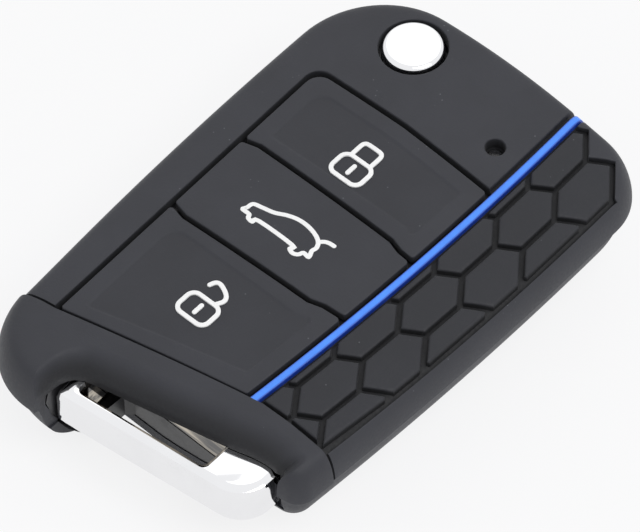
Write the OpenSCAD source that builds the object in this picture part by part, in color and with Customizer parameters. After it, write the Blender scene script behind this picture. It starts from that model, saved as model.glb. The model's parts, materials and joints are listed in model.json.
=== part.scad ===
// Silicone cover on a folding three-button car key, in millimetres.
// The key lies on its back: the face with the buttons looks up (+Z), the blade's
// pivot is at the +Y end and the key ring loop is at the -Y end. The origin is
// the middle of the box round the whole object, on the surface it lies on.

/* [Cover] */
// Width of the cover at its parting line
cover_w = 48; // [47:0.5:51]
// Length of the cover from the top edge to the tip of the long prong
cover_l = 77.4; // [75.4:0.2:81.4]
// Height of the face above the surface that the key lies on
cover_h = 17; // [16.6:0.1:18.2]
// Height of the parting step round the side
parting_h = 11.2; // [10.6:0.1:11.8]
// Wall of the silicone
cover_wall = 1.6; // [1.4:0.05:1.75]
// Rise of the face from its long edges to the middle
crown_rise = 1.1; // [0.6:0.1:1.6]
// How far the rear half stands back from the front half at the parting step
parting_step = 0.35; // [0.2:0.05:0.6]
// How far the end collar stands proud of the sides
collar_proud = 0.45; // [0.3:0.05:0.7]
// How far the end collar stands proud of the face
collar_rise = 0.3; // [0.2:0.05:0.5]

/* [Face] */
// Width of the grooves moulded in the face
groove_w = 0.5; // [0.4:0.05:0.7]
// Depth of the grooves moulded in the face
groove_d = 0.5; // [0.3:0.05:0.7]
// Width of the coloured strip
stripe_w = 1.4; // [1:0.1:1.8]
// Thickness of the coloured strip
stripe_t = 0.8; // [0.6:0.05:1]
// Width of one honeycomb cell from groove to groove
cell_w = 5.44; // [5.2:0.04:5.6]
// Length of the straight side of a honeycomb cell
cell_side = 6; // [5:0.1:7]
// Rise of a honeycomb cell's slanted side
cell_slant = 2.75; // [1.8:0.05:3]
// Width of the padlock in the pictograms, which the others are drawn to
symbol_w = 5.5; // [4.5:0.1:6]
// Width of the lines of the pictograms
symbol_line = 0.75; // [0.6:0.05:0.9]
// Thickness of the inlaid pictograms
symbol_t = 0.3; // [0.2:0.05:0.4]
// Depth of the shallow dish in the outer pads
dish_d = 0.15; // [0.1:0.05:0.25]
// Travel of a pad when it is pressed
press_travel = 0.4; // [0.3:0.05:0.45]
// Diameter of the hole over the status light
light_hole_d = 2.6; // [2.2:0.1:3.2]

/* [Release button] */
// Diameter of the release button
release_d = 8; // [7.6:0.1:8.2]
// Diameter of the hole in the cover round the release button
release_hole_d = 9; // [8.8:0.1:9.6]
// Height of the button's crown above the face around it
release_proud = 0.35; // [0.1:0.05:0.6]
// Travel of the release button
release_travel = 1.5; // [1.2:0.1:1.6]

/* [Key body] */
// Wall of the plastic housings
shell_wall = 1.2; // [1:0.05:1.25]
// Height at which the two housings meet
split_h = 8; // [7.7:0.1:8.3]
// Gap between parts that are assembled together
fit = 0.1; // [0.06:0.01:0.13]

/* [Blade] */
// Width of the key blade
blade_w = 9; // [8.4:0.1:9.2]
// Thickness of the key blade
blade_t = 2.4; // [2:0.1:2.6]
// Length of the key blade from the hub's neck to its tip
blade_l = 46; // [43:0.5:47]
// Diameter of the hub disc
hub_d = 10.8; // [10.2:0.1:10.9]
// Thickness of the hub disc
hub_t = 2.8; // [2.6:0.05:2.95]
// Diameter of the pivot pin
pivot_d = 2.8; // [2.4:0.1:3]
// Radial clearance of the hub on its pivot pin
pivot_play = 0.05; // [0.03:0.01:0.08]

/* [Key ring loop] */
// Height of the metal loop
loop_t = 6.8; // [6:0.1:7]
// Height of the underside of the metal loop
loop_z = 6; // [5.8:0.1:6.3]
// Width of the slot for the key ring
loop_slot_w = 18.2; // [16:0.2:19]
// Diameter of the two pins that hold the loop
loop_pin_d = 2; // [1.6:0.1:2.4]

/* [Electronics] */
// Diameter of the coin cell
cell_d = 20; // [19.6:0.1:20.2]
// Thickness of the coin cell
cell_t = 3.2; // [2.8:0.1:3.3]
// Thickness of the circuit board
board_t = 0.8; // [0.6:0.1:1]
// Side of a push switch
switch_side = 4.2; // [3.6:0.1:4.8]

/* [Hidden] */

half_w = cover_w / 2;
half_l = cover_l / 2;
// One overrun serves every cut
over = 2;
// Facets of round parts, and the turn that keeps a hole's corners off the skin's edges
round_fn = 48;
facet_turn = 1.3;
// Greatest turn between two points of a rounded corner, in degrees, on the cover's
// skin and on what lies inside it
arc_angle = 10;
inner_arc_angle = 22;
// Radius of the crowned face across the width
crown_r = (half_w * half_w + crown_rise * crown_rise) / (2 * crown_rise);

// Outline of the cover at the parting line, seen from the front, as shares of the
// half width and half length, and each corner's radius as a share of the half width
outline_shares = [
  [0.919, -0.705, 0.11], [1.021, 0.1, 22], [0.995, 0.961, 0.33], [0, 1.017, 7.5],
  [-0.997, 0.977, 0.48], [-1.021, 0.05, 22], [-0.935, -0.99, 0.44],
  [-0.433, -0.99, 0.05], [0.69, -0.72, 0]
];
// Rear half from its flat back upwards: inset as a share of the half width,
// height as a share of the parting height
rear_shares = [
  [0.335, 0], [0.245, 0.045], [0.17, 0.135], [0.108, 0.27], [0.06, 0.45], [0.03, 0.65],
  [0.016, 0.84]
];
// Front half upwards from the parting line: inset as a share of the half width,
// height as a share of what lies between the parting line and the face
front_shares = [
  [0, 0], [0.004, 0.18], [0.018, 0.4], [0.042, 0.62], [0.074, 0.8], [0.108, 0.92],
  [0.15, 0.985], [0.2, 1]
];
// Further rings across the crowned face, as shares of the outline
face_shares = [0.56, 0.28];
// What lies inside the cover follows every second ring
inner_rear_shares = [for (i = [0, 2, 4, 6]) rear_shares[i]];
inner_front_shares = [for (i = [0, 2, 4, 5, 7]) front_shares[i]];
inner_face_shares = [0.5];

// Height of the face at x
function face_z(x) = cover_h - crown_r + sqrt(crown_r * crown_r - x * x);
// A point given as shares of the half width and half length
function at(share) = [share.x * half_w, share.y * half_l];
function places(shares) = [for (s = shares) at(s)];
function unit(v) = v / norm(v);
// The arc that rounds corner b between its neighbours a and c
function corner_arc(a, b, c, r, step = arc_angle) =
  let (
    u = unit(a - b),
    v = unit(c - b),
    half = acos(u * v) / 2,
    start = b + u * r / tan(half),
    centre = b + unit(u + v) * r / sin(half),
    side = u.x * v.y > u.y * v.x ? -1 : 1,
    turn = 180 - 2 * half,
    steps = max(step > arc_angle ? 2 : 4, ceil(turn / step)),
    d = start - centre
  )
  [for (i = [0:steps])
    let (s = side * turn * i / steps)
    centre + [d.x * cos(s) - d.y * sin(s), d.x * sin(s) + d.y * cos(s)]];
// A closed outline of corners [x, y, radius] with its corners rounded
function rounded(corners, step = arc_angle) =
  let (n = len(corners))
  [for (i = [0:n - 1])
    let (
      a = corners[(i + n - 1) % n],
      b = corners[i],
      c = corners[(i + 1) % n]
    )
    each b[2] > 0
      ? corner_arc([a.x, a.y], [b.x, b.y], [c.x, c.y], b[2], step)
      : [[b.x, b.y]]];
// The same for corners given as shares
function rounded_at(shares, step = arc_angle) =
  rounded([for (s = shares) [s.x * half_w, s.y * half_l, s[2] * half_w]], step);

outline = rounded_at(outline_shares);
inner_outline = rounded_at(outline_shares, inner_arc_angle);

// An outline drawn in by an inset
function drawn_in(line, inset) =
  [for (p = line) [p.x * (1 - inset / half_w), p.y * (1 - inset / half_l)]];

// The ring of the body at height z of its rear half
function rear_ring(line, inset, drop, z) =
  let (
    ledge = inset == 0 ? parting_step : 0,
    insets = concat([for (s = rear_shares) [s.y, s.x]], [[1, 0]]),
    share = lookup((z - drop) / (parting_h - drop), insets)
  )
  [for (p = drawn_in(line, share * half_w + inset + ledge)) [p.x, p.y, z]];
// The rings of the body's front half, up to the crowned face
function front_rings(line, inset, drop, fine) =
  concat(
    [for (s = fine ? front_shares : inner_front_shares)
      [for (p = drawn_in(line, s.x * half_w + inset))
        [p.x, p.y, parting_h + s.y * (face_z(p.x) - drop - parting_h)]]],
    [for (f = fine ? face_shares : inner_face_shares)
      [for (p = drawn_in(line, inset)) [p.x * f, p.y * f, face_z(p.x * f) - drop]]]
  );

// A closed solid through rings that all have as many points. With a top point the
// last ring closes onto it, and without one it closes flat.
module skin(rings, top = undef) {
  n = len(rings[0]);
  last = len(rings) - 1;
  polyhedron(
    points = concat([for (r = rings) each r], is_undef(top) ? [] : [top]),
    faces = concat(
      [[for (i = [0:n - 1]) i]],
      [for (k = [0:last - 1]) for (i = [0:n - 1])
        [k * n + i, (k + 1) * n + i, (k + 1) * n + (i + 1) % n]],
      [for (k = [0:last - 1]) for (i = [0:n - 1])
        [k * n + i, (k + 1) * n + (i + 1) % n, k * n + (i + 1) % n]],
      is_undef(top)
        ? [[for (i = [0:n - 1]) last * n + n - 1 - i]]
        : [for (i = [0:n - 1]) [last * n + i, (last + 1) * n, last * n + (i + 1) % n]]
    )
  );
}

// The body whose sides lie inset inside the cover's own skin, and whose face and
// back lie drop inside it. It can start at one height of its rear half and end at
// another.
module body_form(inset, drop, fine = false, low = undef, high = undef) {
  line = fine ? outline : inner_outline;
  start = is_undef(low) ? drop : low;
  end = is_undef(high) ? parting_h - (fine ? parting_step / 2 : fit) : high;
  heights = concat(
    [start],
    [for (s = fine ? rear_shares : inner_rear_shares)
      let (z = drop + s.y * (parting_h - drop))
      if (z > start + fit && z < end - fit) z],
    is_undef(high) && !fine ? [] : [end]
  );
  rear = [for (z = heights) rear_ring(line, inset, drop, z)];
  if (is_undef(high)) {
    skin(concat(rear, front_rings(line, inset, drop, fine)), [0, 0, face_z(0) - drop]);
  } else {
    skin(rear);
  }
}

// Everything below the crowned face lowered by drop
module below_face(drop) {
  translate([0, 0, cover_h - drop - crown_r])
    rotate([90, 0, 0])
      cylinder(r = crown_r, h = cover_l + 2 * over, center = true, $fn = 720);
}

// A plan shape kept between two depths under the crowned face
module face_layer(upper, lower) {
  difference() {
    intersection() {
      translate([0, 0, parting_h - over]) linear_extrude(cover_h) children();
      below_face(upper);
    }
    below_face(lower);
  }
}

// A shell whose skin has no true curves, taken as one closed form of flat faces
module one_form() {
  resize([0, 0, 0]) children();
}

// A plan shape as a prism between two heights
module prism(low, high) {
  translate([0, 0, low]) linear_extrude(high - low) children();
}

// A round post or hole between two heights
module post(place, r, low, high, turn = 0) {
  translate([place.x, place.y, low]) rotate(turn) cylinder(r = r, h = high - low, $fn = round_fn);
}

function reversed(list) = [for (i = [len(list) - 1:-1:0]) list[i]];
// A path moved sideways by d, with its corners mitred
function moved(path, d, closed) =
  let (n = len(path))
  [for (i = [0:n - 1])
    let (
      into = closed || i > 0 ? unit(path[i] - path[(i + n - 1) % n]) : unit(path[1] - path[0]),
      out = closed || i < n - 1 ? unit(path[(i + 1) % n] - path[i]) : into,
      mean = unit(into + out)
    )
    path[i] + [-mean.y, mean.x] * d / (mean * into)];

// A line of width w along an open path, with round ends
module stroke(path, w) {
  polygon(concat(moved(path, w / 2, false), reversed(moved(path, -w / 2, false))));
  for (p = [path[0], path[len(path) - 1]]) translate(p) circle(d = w, $fn = 12);
}

// A line of width w round a closed path that runs anticlockwise
module loop_stroke(path, w) {
  difference() {
    polygon(moved(path, -w / 2, true));
    polygon(moved(path, w / 2, true));
  }
}

// Depths of the key's skin and of the inside of its housings
key_depth = cover_wall + fit;
inner_depth = key_depth + shell_wall;
// Heights of the blade's channel, which the split between the housings crosses
blade_mid = split_h - fit;
channel_play = 3 * fit;
channel_low = blade_mid - hub_t / 2 - channel_play;
channel_high = blade_mid + hub_t / 2 + channel_play;
// Heights of the board and what stands on it
tray_t = shell_wall / 2;
tray_z = channel_high + fit;
board_z = tray_z + tray_t + fit;
board_top = board_z + board_t;
switch_h = switch_side / 5;
plunger_r = switch_side / 5;
plunger_top = board_top + switch_h + press_travel + fit;
// The pads' underside, which a full press brings down to the key's skin
pad_t = cover_wall - press_travel;
flange_t = shell_wall / 2;

// Pivot of the blade and the release button
pivot = at([-0.467, 0.801]);
hub_r = hub_d / 2;
// The blade's centreline passes its pivot at this distance
blade_offset = hub_r + fit;
neck_l = hub_d;
blade_out = blade_offset + blade_w / 2;
blade_in = blade_offset - blade_w / 2;
blade_top = pivot.y - neck_l;
blade_tip = blade_top - blade_l;
pivot_r = pivot_d / 2;

// The coloured strip's centreline bows from its crest towards both ends
stripe_share = 0.496;
stripe_bow_share = 0.0676;
stripe_crest_share = 0.465;
function stripe_x(y) =
  half_w * (stripe_share - stripe_bow_share * pow(y / half_l - stripe_crest_share, 2));

// The panel of pads: its left side leans, and its right side follows the strip
panel_share = -0.737;
panel_lean_share = -0.0365;
function panel_left(y) = half_w * (panel_share + panel_lean_share * y / half_l);
function panel_right(y) = stripe_x(y) - stripe_w / 2 - groove_w / 2;
// Middle lines of the panel's grooves from left to right, as shares. The first and
// last points of each take their x from the panel's sides.
panel_top_shares = [[-1, 0.53], [-0.15, 0.5375], [1, 0.522]];
divider_1_shares = [[-1, 0.155], [-0.631, 0.1705], [0.281, 0.168], [0.352, 0.155], [1, 0.1525]];
divider_2_shares = [[-1, -0.182], [-0.6146, -0.1977], [0.219, -0.1796], [0.302, -0.163], [1, -0.156]];
panel_low_shares = [[-1, -0.726], [1, -0.579]];
panel_corner_share = 0.09;
pad_corner_share = 0.02;
// Upper edge of the end collar, and a margin that carries it past the sides
collar_shares = [
  [-1.1, -0.775], [-0.79, -0.738], [-0.71, -0.7325], [0.335, -0.5853], [0.475, -0.5665],
  [0.65, -0.561], [1.1, -0.566]
];

// The mouth at the end: its edge in the front half, the crease where the scoop
// round it starts, and its edge in the rear half
mouth_shares = [
  [0.7875, -1.1], [0.7875, -0.7106], [0.72, -0.679], [0.6, -0.682], [0.415, -0.713],
  [-0.348, -0.822], [-0.418, -0.85], [-0.448, -0.891], [-0.452, -1.1]
];
crease_shares = [
  [0.87, -1.1], [0.85, -0.672], [0.78, -0.618], [0.6, -0.612], [0.415, -0.641],
  [-0.352, -0.7545], [-0.46, -0.79], [-0.498, -0.86], [-0.502, -1.1]
];
rear_mouth_shares = [
  [0.72, -1.1], [0.72, -0.711], [0.66, -0.678], [-0.26, -0.678], [-0.3, -0.7],
  [-0.317, -0.894], [-0.292, -1.1]
];
// Height of the mouth's lip, as a share of the face above the parting line
lip_share = 0.47;
lip_z = parting_h + lip_share * (cover_h - parting_h);

// Outline of the metal loop, with the radius of each corner, and its slot, as shares
loop_shares = [
  [-0.448, -0.61, 0.033], [-0.448, -0.917, 0.033], [0.744, -0.827, 0.21], [0.744, -0.61, 0.033]
];
slot_x_share = 0.0396;
slot_shares = [-0.682, -0.855, -0.801];
loop_high = loop_z + loop_t;
loop_top_y = -0.61 * half_l;
// The lip's wall reaches down to the loop
lip_wall = lip_z - loop_high - fit;
loop_pins_at = places([[-0.19, -0.543], [0.583, -0.543]]);
tab_w = 2.5 * loop_pin_d;
tab_t = 1.25 * loop_pin_d;
tab_z = channel_high - fit - tab_t;
boss_r = loop_pin_d * 1.15;
// The hollow of the housings ends behind the loop's end wall
hollow_y = loop_top_y + fit + shell_wall;

// The two screws that hold the housings together
screws_at = places([[0.69, 0.775], [-0.59, -0.745]]);
screw_d = loop_pin_d * 0.8;
screw_head_d = 1.8 * screw_d;
screw_head_t = 0.6 * screw_d;

// Places of what stands on the board
cell_at = at([0.146, -0.103]);
light_at = at([0.2875, 0.667]);
keys_y = [for (s = [0.352, -0.003, -0.39]) s * half_l];
keys_x = -0.175 * half_w;
key_w = 0.9 * half_w;
keys_l = [for (s = [0.245, 0.24, 0.3]) s * half_l];

// The space before the mouth. It runs straight down inside the lip's edge and is
// ruled outwards from it to the crease. Lowered by drop it clears what lies under
// the lip.
module scoop(drop, low) {
  mouth = places(mouth_shares);
  crease = places(crease_shares);
  top = cover_h + over;
  reach = (top - lip_z) / (cover_h - lip_z);
  skin([
    [for (p = mouth) [p.x, p.y, low]],
    [for (p = mouth) [p.x, p.y, lip_z - drop]],
    [for (i = [0:len(mouth) - 1])
      let (q = mouth[i] + (crease[i] - mouth[i]) * reach)
      [q.x, q.y, top - drop]]
  ]);
}

// The area of the end collar, moved towards the top edge by shift
module collar_area(shift) {
  last = len(collar_shares) - 1;
  polygon(concat(
    [for (i = [last:-1:0]) at(collar_shares[i]) + [0, shift]],
    [at([-1.1, -1.1]), at([1.1, -1.1])]
  ));
}

// A point of a panel line: the line moved up by rise, its ends drawn in by gap
function line_point(s, rise, gap) =
  let (y = s.y * half_l + rise)
  [s.x == -1 ? panel_left(y) + gap : s.x == 1 ? panel_right(y) - gap : s.x * half_w, y];
// Whether a line's point is one of its ends, or lies clear of them by gap
function stays(s, gap) =
  let (x = s.x * half_w, y = s.y * half_l)
  abs(s.x) == 1 || (x > panel_left(y) + gap && x < panel_right(y) - gap);
// The part of the panel between two lines, all sides drawn in by gap
function panel_part(low, high, gap, corner) =
  let (
    r = pad_corner_share * half_w,
    lower = [for (s = low) if (stays(s, gap + r)) line_point(s, gap, gap)],
    upper = [for (s = high) if (stays(s, gap + r)) line_point(s, -gap, gap)],
    y1 = lower[len(lower) - 1].y,
    y2 = upper[len(upper) - 1].y
  )
  rounded(concat(
    [for (i = [0:len(lower) - 1])
      [lower[i].x, lower[i].y, i == 0 || i == len(lower) - 1 ? r : 0]],
    [for (t = [0.25, 0.5, 0.75]) let (y = y1 + t * (y2 - y1)) [panel_right(y) - gap, y, 0]],
    [for (i = [len(upper) - 1:-1:0])
      [upper[i].x, upper[i].y, i == 0 ? corner : i == len(upper) - 1 ? r : 0]]
  ));
panel_corner = panel_corner_share * half_w;
pad_corner = pad_corner_share * half_w;

// Points beside the coloured strip's middle line, from its lower end upwards
stripe_low_y = -0.585 * half_l;
stripe_steps = 8;
function beside_stripe(offset, low, high) =
  [for (i = [0:stripe_steps])
    let (y = low + (high - low) * i / stripe_steps)
    [stripe_x(y) + offset, y]];
module beside_area(left, right, low, high) {
  polygon(concat(beside_stripe(right, low, high), reversed(beside_stripe(left, low, high))));
}
// The top edge of the cover where the strip runs over it
stripe_end_y = 0.989 * half_l;
// The core that the strip lies on follows the front half's own rounding
module stripe_core(drop) {
  z = face_z(stripe_x(half_l)) - drop;
  profile = concat(
    [[-half_l, parting_h - over], [stripe_end_y - drop, parting_h - over]],
    [for (s = front_shares)
      [stripe_end_y - drop - s.x * half_w, parting_h + s.y * (z - parting_h)]],
    [[-half_l, z]]
  );
  rotate([90, 0, 90]) linear_extrude(half_w) polygon(profile);
}
module stripe_band(left, right) {
  difference() {
    prism(parting_h + fit, cover_h + over)
      beside_area(left, right, stripe_low_y, half_l + over);
    stripe_core(stripe_t);
  }
}

// Honeycomb: the middle of its first cell, its right border and its first row, as
// offsets from the strip's middle line and as a share of the half length
cell_first = 0.355 * cell_w;
field_right_share = 1.98;
field_right = field_right_share * cell_w;
field_left = stripe_w / 2 + groove_w * 0.6;
row_first = 0.752 * half_l;
cell_skew_share = 0.25;
row_count = 7;
function column_x(j) = cell_first + j * cell_w / 2;
// The height of a cell's top edge over its middle at an offset from its centre
function cell_rise(d) =
  cell_side / 2 + cell_slant * (1 - abs(d) / (cell_w / 2))
  - cell_skew_share * d
  - groove_w / 2 * sqrt(1 + pow((d < 0 ? -1 : 1) * cell_slant / (cell_w / 2) + cell_skew_share, 2));
function cell_fall(d) = -cell_rise(-d);
// A point of the cell at column j and row k, at offset d from its centre
function cell_point(j, k, d, high) =
  let (
    x = column_x(j) + d,
    y = row_first - k * (cell_side + cell_slant) - cell_skew_share * (column_x(j) - column_x(1))
      + (high ? cell_rise(d) : cell_fall(d))
  )
  [x + stripe_x(y), y];
// The raised land of one cell, which the outermost column carries to the border
module cell_land(j, k) {
  left = groove_w / 2 - cell_w / 2;
  right = j == 2 ? field_right - groove_w / 2 - column_x(j) : -left;
  polygon([
    cell_point(j, k, left, true), cell_point(j, k, 0, true), cell_point(j, k, right, true),
    cell_point(j, k, right, false), cell_point(j, k, 0, false), cell_point(j, k, left, false)
  ]);
}
module cell_lands() {
  intersection() {
    union() {
      for (k = [0:row_count - 1])
        for (j = k % 2 == 0 ? [0, 2] : [-1, 1, 3]) cell_land(j, k);
    }
    beside_area(field_left, field_right - groove_w / 2, -half_l, half_l);
  }
}
// The sunken field round the lands ends in a zigzag at the top
module cell_field() {
  crests = [for (c = [[0, -0.2], [0, 0], [0, 0.5], [2, -0.5], [2, 0], [2, 0.6]])
    cell_point(c.x, 0, c.y * cell_w, true) + [0, 1.5 * groove_w]];
  first = crests[0];
  last = crests[len(crests) - 1];
  polygon(concat(
    [[stripe_x(first.y) + stripe_w / 2, first.y]],
    crests,
    [[stripe_x(last.y) + field_right + groove_w / 2, last.y]],
    reversed(beside_stripe(field_right + groove_w / 2, -half_l, last.y - groove_w)),
    beside_stripe(stripe_w / 2, -half_l, first.y - groove_w)
  ));
}
// Everything sunk by the depth of a groove: the honeycomb's grooves and the groove
// along the collar
module groove_plan() {
  difference() {
    union() {
      cell_field();
      collar_area(groove_w);
    }
    difference() {
      cell_lands();
      collar_area(groove_w);
    }
    collar_area(0);
  }
}

// Plan of the space that the blade and its hub sweep between rest and fully open,
// with wide to spare
module sweep_plan(wide) {
  left = -half_w - over;
  right = pivot.x + blade_out + wide + fit;
  low = blade_tip - wide - 3 * fit;
  translate([left, low])
    square([pivot.x - blade_in + wide - left, pivot.y - low]);
  translate(pivot) circle(r = hub_r + wide, $fn = round_fn);
  polygon([
    [left, pivot.y - fit], [pivot.x, pivot.y - fit],
    [pivot.x + 0.7 * hub_r + wide, pivot.y - 0.7 * hub_r - wide],
    [right, pivot.y + 0.6 * hub_r], [right, half_l + over], [left, half_l + over]
  ]);
}
channel_wide = 3 * fit;
slot_wide = channel_wide + 5 * fit;

module silicone_cover() {
  color([0.28, 0.285, 0.3])
    one_form() difference() {
      union() {
        body_form(0, 0, true);
        intersection() {
          body_form(-collar_proud, -collar_rise, true);
          prism(parting_h, cover_h + over) collar_area(0);
        }
      }
      difference() {
        body_form(cover_wall, cover_wall);
        scoop(lip_wall, loop_z);
      }
      scoop(0, loop_z - fit);
      prism(-over, parting_h) polygon(places(rear_mouth_shares));
      prism(parting_h, cover_h + over)
        polygon(panel_part(panel_low_shares, panel_top_shares, -groove_w / 2, panel_corner));
      stripe_band(-stripe_w / 2 - groove_w, stripe_w / 2);
      difference() {
        prism(parting_h, cover_h + over) groove_plan();
        body_form(groove_d, groove_d, true);
      }
      prism(channel_low - fit, channel_high + fit) sweep_plan(slot_wide);
      prism(loop_z - fit, loop_high + fit) loop_outline(-fit);
      post(pivot, release_hole_d / 2, parting_h, cover_h + over, facet_turn);
      post(light_at, light_hole_d / 2, parting_h, cover_h + over, facet_turn);
    }
}

module accent_stripe() {
  color([0.34, 0.62, 1])
    intersection() {
      stripe_band(-stripe_w / 2, stripe_w / 2);
      body_form(0, 0, true);
    }
}

// A pad of the panel, with a shallow dish where margin says how far inside it lies
module pad(low, high, corner, margin = 0) {
  color([0.28, 0.285, 0.3])
    difference() {
      face_layer(0, pad_t)
        polygon(panel_part(low, high, groove_w / 2, corner));
      if (margin > 0)
        face_layer(-over, dish_d) polygon(panel_part(low, high, margin, dish_corner));
      children();
    }
}
dish_margin = 4 * groove_w;
dish_corner = 3 * groove_w;
module lock_pad() {
  pad(divider_1_shares, panel_top_shares, panel_corner, dish_margin)
    face_layer(-over, symbol_t) padlock_plan();
}
module boot_pad() {
  pad(divider_2_shares, divider_1_shares, pad_corner)
    face_layer(-over, symbol_t) car_plan();
}
module unlock_pad() {
  pad(panel_low_shares, divider_2_shares, pad_corner, dish_margin)
    face_layer(-over, symbol_t) open_padlock_plan();
}

// Pictograms. Their points are shares of the padlock's width.
padlock_share = 0.432;
padlock_h_share = 0.318;
padlock_corner_share = 0.2;
shackle_shares = [[-0.28, 0.33], [-0.28, 0.55], [-0.25, 0.66], [-0.16, 0.75], [0, 0.78]];
open_shackle_shares = [
  [0.2, 0.33], [0.29, 0.51], [0.27, 0.62], [0.18, 0.71], [0.02, 0.79], [-0.11, 0.82],
  [-0.2, 0.77], [-0.25, 0.65]
];
keyhole_share = 0.12;
padlock_at = at([-0.171, 0.29]);
open_padlock_at = at([-0.1615, -0.437]);
car_at = at([-0.175, -0.022]);
car_shares = [
  [-1.02, -0.14], [-1.06, -0.24], [-0.86, -0.25], [-0.8, -0.34], [-0.66, -0.36],
  [-0.57, -0.25], [0.44, -0.25], [0.47, -0.36], [0.6, -0.41], [0.72, -0.35],
  [0.78, -0.24], [0.94, -0.25], [0.88, -0.08], [0.9, 0.05], [0.82, 0.2], [0.62, 0.31],
  [0.34, 0.37], [0.06, 0.36], [-0.2, 0.28], [-0.46, 0.15], [-0.76, 0.08], [-0.98, 0.02]
];
boot_lid_shares = [[0.82, 0.2], [0.93, 0.3], [1.04, 0.34], [1.16, 0.35]];

module padlock_body() {
  loop_stroke(
    rounded([for (s = [[-1, -1], [1, -1], [1, 1], [-1, 1]])
      [s.x * padlock_share * symbol_w, s.y * padlock_h_share * symbol_w,
        padlock_corner_share * symbol_w]]),
    symbol_line);
  stroke([[0, -keyhole_share * symbol_w], [0, keyhole_share * symbol_w]], symbol_line);
}
module padlock_plan() {
  arch = [for (s = shackle_shares) s * symbol_w];
  translate(padlock_at) {
    padlock_body();
    stroke(concat(arch, reversed([for (p = arch) if (p.x < 0) [-p.x, p.y]])), symbol_line);
  }
}
module open_padlock_plan() {
  translate(open_padlock_at) {
    padlock_body();
    stroke([for (s = open_shackle_shares) s * symbol_w], symbol_line);
  }
}
module car_plan() {
  translate(car_at) {
    loop_stroke([for (s = car_shares) s * symbol_w], symbol_line);
    stroke([for (s = boot_lid_shares) s * symbol_w], symbol_line);
  }
}
// A pictogram stands this much proud of its pad
symbol_proud = symbol_t / 5;
module inlay() {
  color("white") face_layer(-symbol_proud, symbol_t) children();
}
module lock_symbol() { inlay() padlock_plan(); }
module boot_symbol() { inlay() car_plan(); }
module unlock_symbol() { inlay() open_padlock_plan(); }

// The key's two housings, solid, as they fill the cover
module housing_block(low = undef, high = undef) {
  difference() {
    body_form(key_depth, key_depth, false, low, high);
    scoop(lip_wall + fit, loop_z - fit);
    prism(loop_z - fit, loop_high + fit)
      translate([-fit, fit]) square_to([half_w + over, loop_top_y], at([-0.448, -1.1]));
    translate([0, fit, 0])
      prism(-over, loop_z) polygon(places(rear_mouth_shares));
  }
}
// A rectangle given by two opposite corners
module square_to(a, b) {
  translate([min(a.x, b.x), min(a.y, b.y)]) square([abs(a.x - b.x), abs(a.y - b.y)]);
}
// What lies inside the housings' walls and behind the loop's end wall
module hollow(low, high = undef) {
  difference() {
    body_form(inner_depth, inner_depth, false, low, high);
    translate([-half_w - over, hollow_y - cover_l, -over])
      cube([cover_w + 2 * over, cover_l, cover_h + 2 * over]);
    children();
  }
}
module tab_plan(wide) {
  for (p = loop_pins_at)
    square_to([p.x - tab_w / 2 - wide, loop_top_y - over],
      [p.x + tab_w / 2 + wide, p.y + tab_w / 2 + wide]);
}
key_margin = 8 * fit;
// Drop of the flanges under the keys' windows, clear of the wall's flat faces
cap_drop = inner_depth + 2 * fit;
// Plan of key i, grown by wide
module key_plan(i, wide) {
  w = key_w + 2 * wide;
  h = keys_l[i] + 2 * wide;
  translate([keys_x - w / 2, keys_y[i] - h / 2]) square([w, h]);
}
release_r = release_d / 2;
stem_r = release_r - 6 * fit;
screw_r = screw_d / 2;
screw_head_r = screw_head_d / 2;
screw_top = cover_h - inner_depth - 10 * fit;

light_r = light_hole_d * 0.35;
screw_boss_r = screw_head_r + 7 * fit;

module front_housing() {
  color([0.1, 0.1, 0.11])
    one_form() difference() {
      housing_block(split_h);
      hollow(split_h - over) post(screws_at[0], screw_boss_r, 0, cover_h);
      prism(split_h - over, channel_high) sweep_plan(channel_wide);
      prism(tab_z - fit, tab_z + tab_t + fit) tab_plan(fit);
      post(pivot, release_r + fit, board_top, cover_h, facet_turn);
      post(pivot, release_r + 4 * fit, board_top, flange_high + fit, facet_turn);
      post(light_at, light_r + fit, board_top, cover_h);
      for (i = [0:2]) prism(board_top, cover_h) key_plan(i, fit);
      for (p = screws_at) post(p, screw_r + fit / 2, split_h - over, screw_top);
    }
}

// Heights in the rear housing
floor_top = inner_depth;
cell_r = cell_d / 2;
cell_bore_r = cell_r + 1.5 * fit;
cell_low = channel_high - fit - cell_t;
hub_low = blade_mid - hub_t / 2;
hub_high = hub_low + hub_t;
hub_floor = hub_low + 6 * fit;
divider_x = pivot.x - blade_in + channel_wide / 2;
divider_w = shell_wall * 0.8;
rib_count = 4;
// Radius of the boss under the hub, as a share of the hub's
hub_seat_share = 0.73;
module ring(place, outer, inner, low, high) {
  difference() {
    post(place, outer, low, high);
    post(place, inner, low - over, high + over);
  }
}
contact_w = cell_d * 0.2;
contact_t = 3 * fit;
module contact_plan(wide) {
  y = cell_at.y - cell_r;
  square_to([cell_at.x - contact_w / 2 - wide, y - contact_t - 2 * fit - wide],
    [cell_at.x + contact_w / 2 + wide, y - 2 * fit + wide]);
}

// What stands on the floor of the rear housing: the cell's wall, the bosses, the
// wall beside the blade and the ribs under it
module rear_details() {
  post(cell_at, cell_bore_r + shell_wall, 0, cover_h);
  post(pivot, hub_r * hub_seat_share, 0, hub_low - fit);
  for (p = loop_pins_at) post(p, boss_r, 0, tab_z - fit);
  post(screws_at[0], screw_boss_r, 0, cover_h);
  translate([divider_x, -half_l, 0]) cube([divider_w, half_l + pivot.y - hub_r, cover_h]);
  for (i = [0:rib_count - 1])
    translate([-half_w, hollow_y + (i + 0.5) * rib_pitch, 0])
      cube([divider_x + half_w + fit, divider_w, channel_low]);
}

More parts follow.
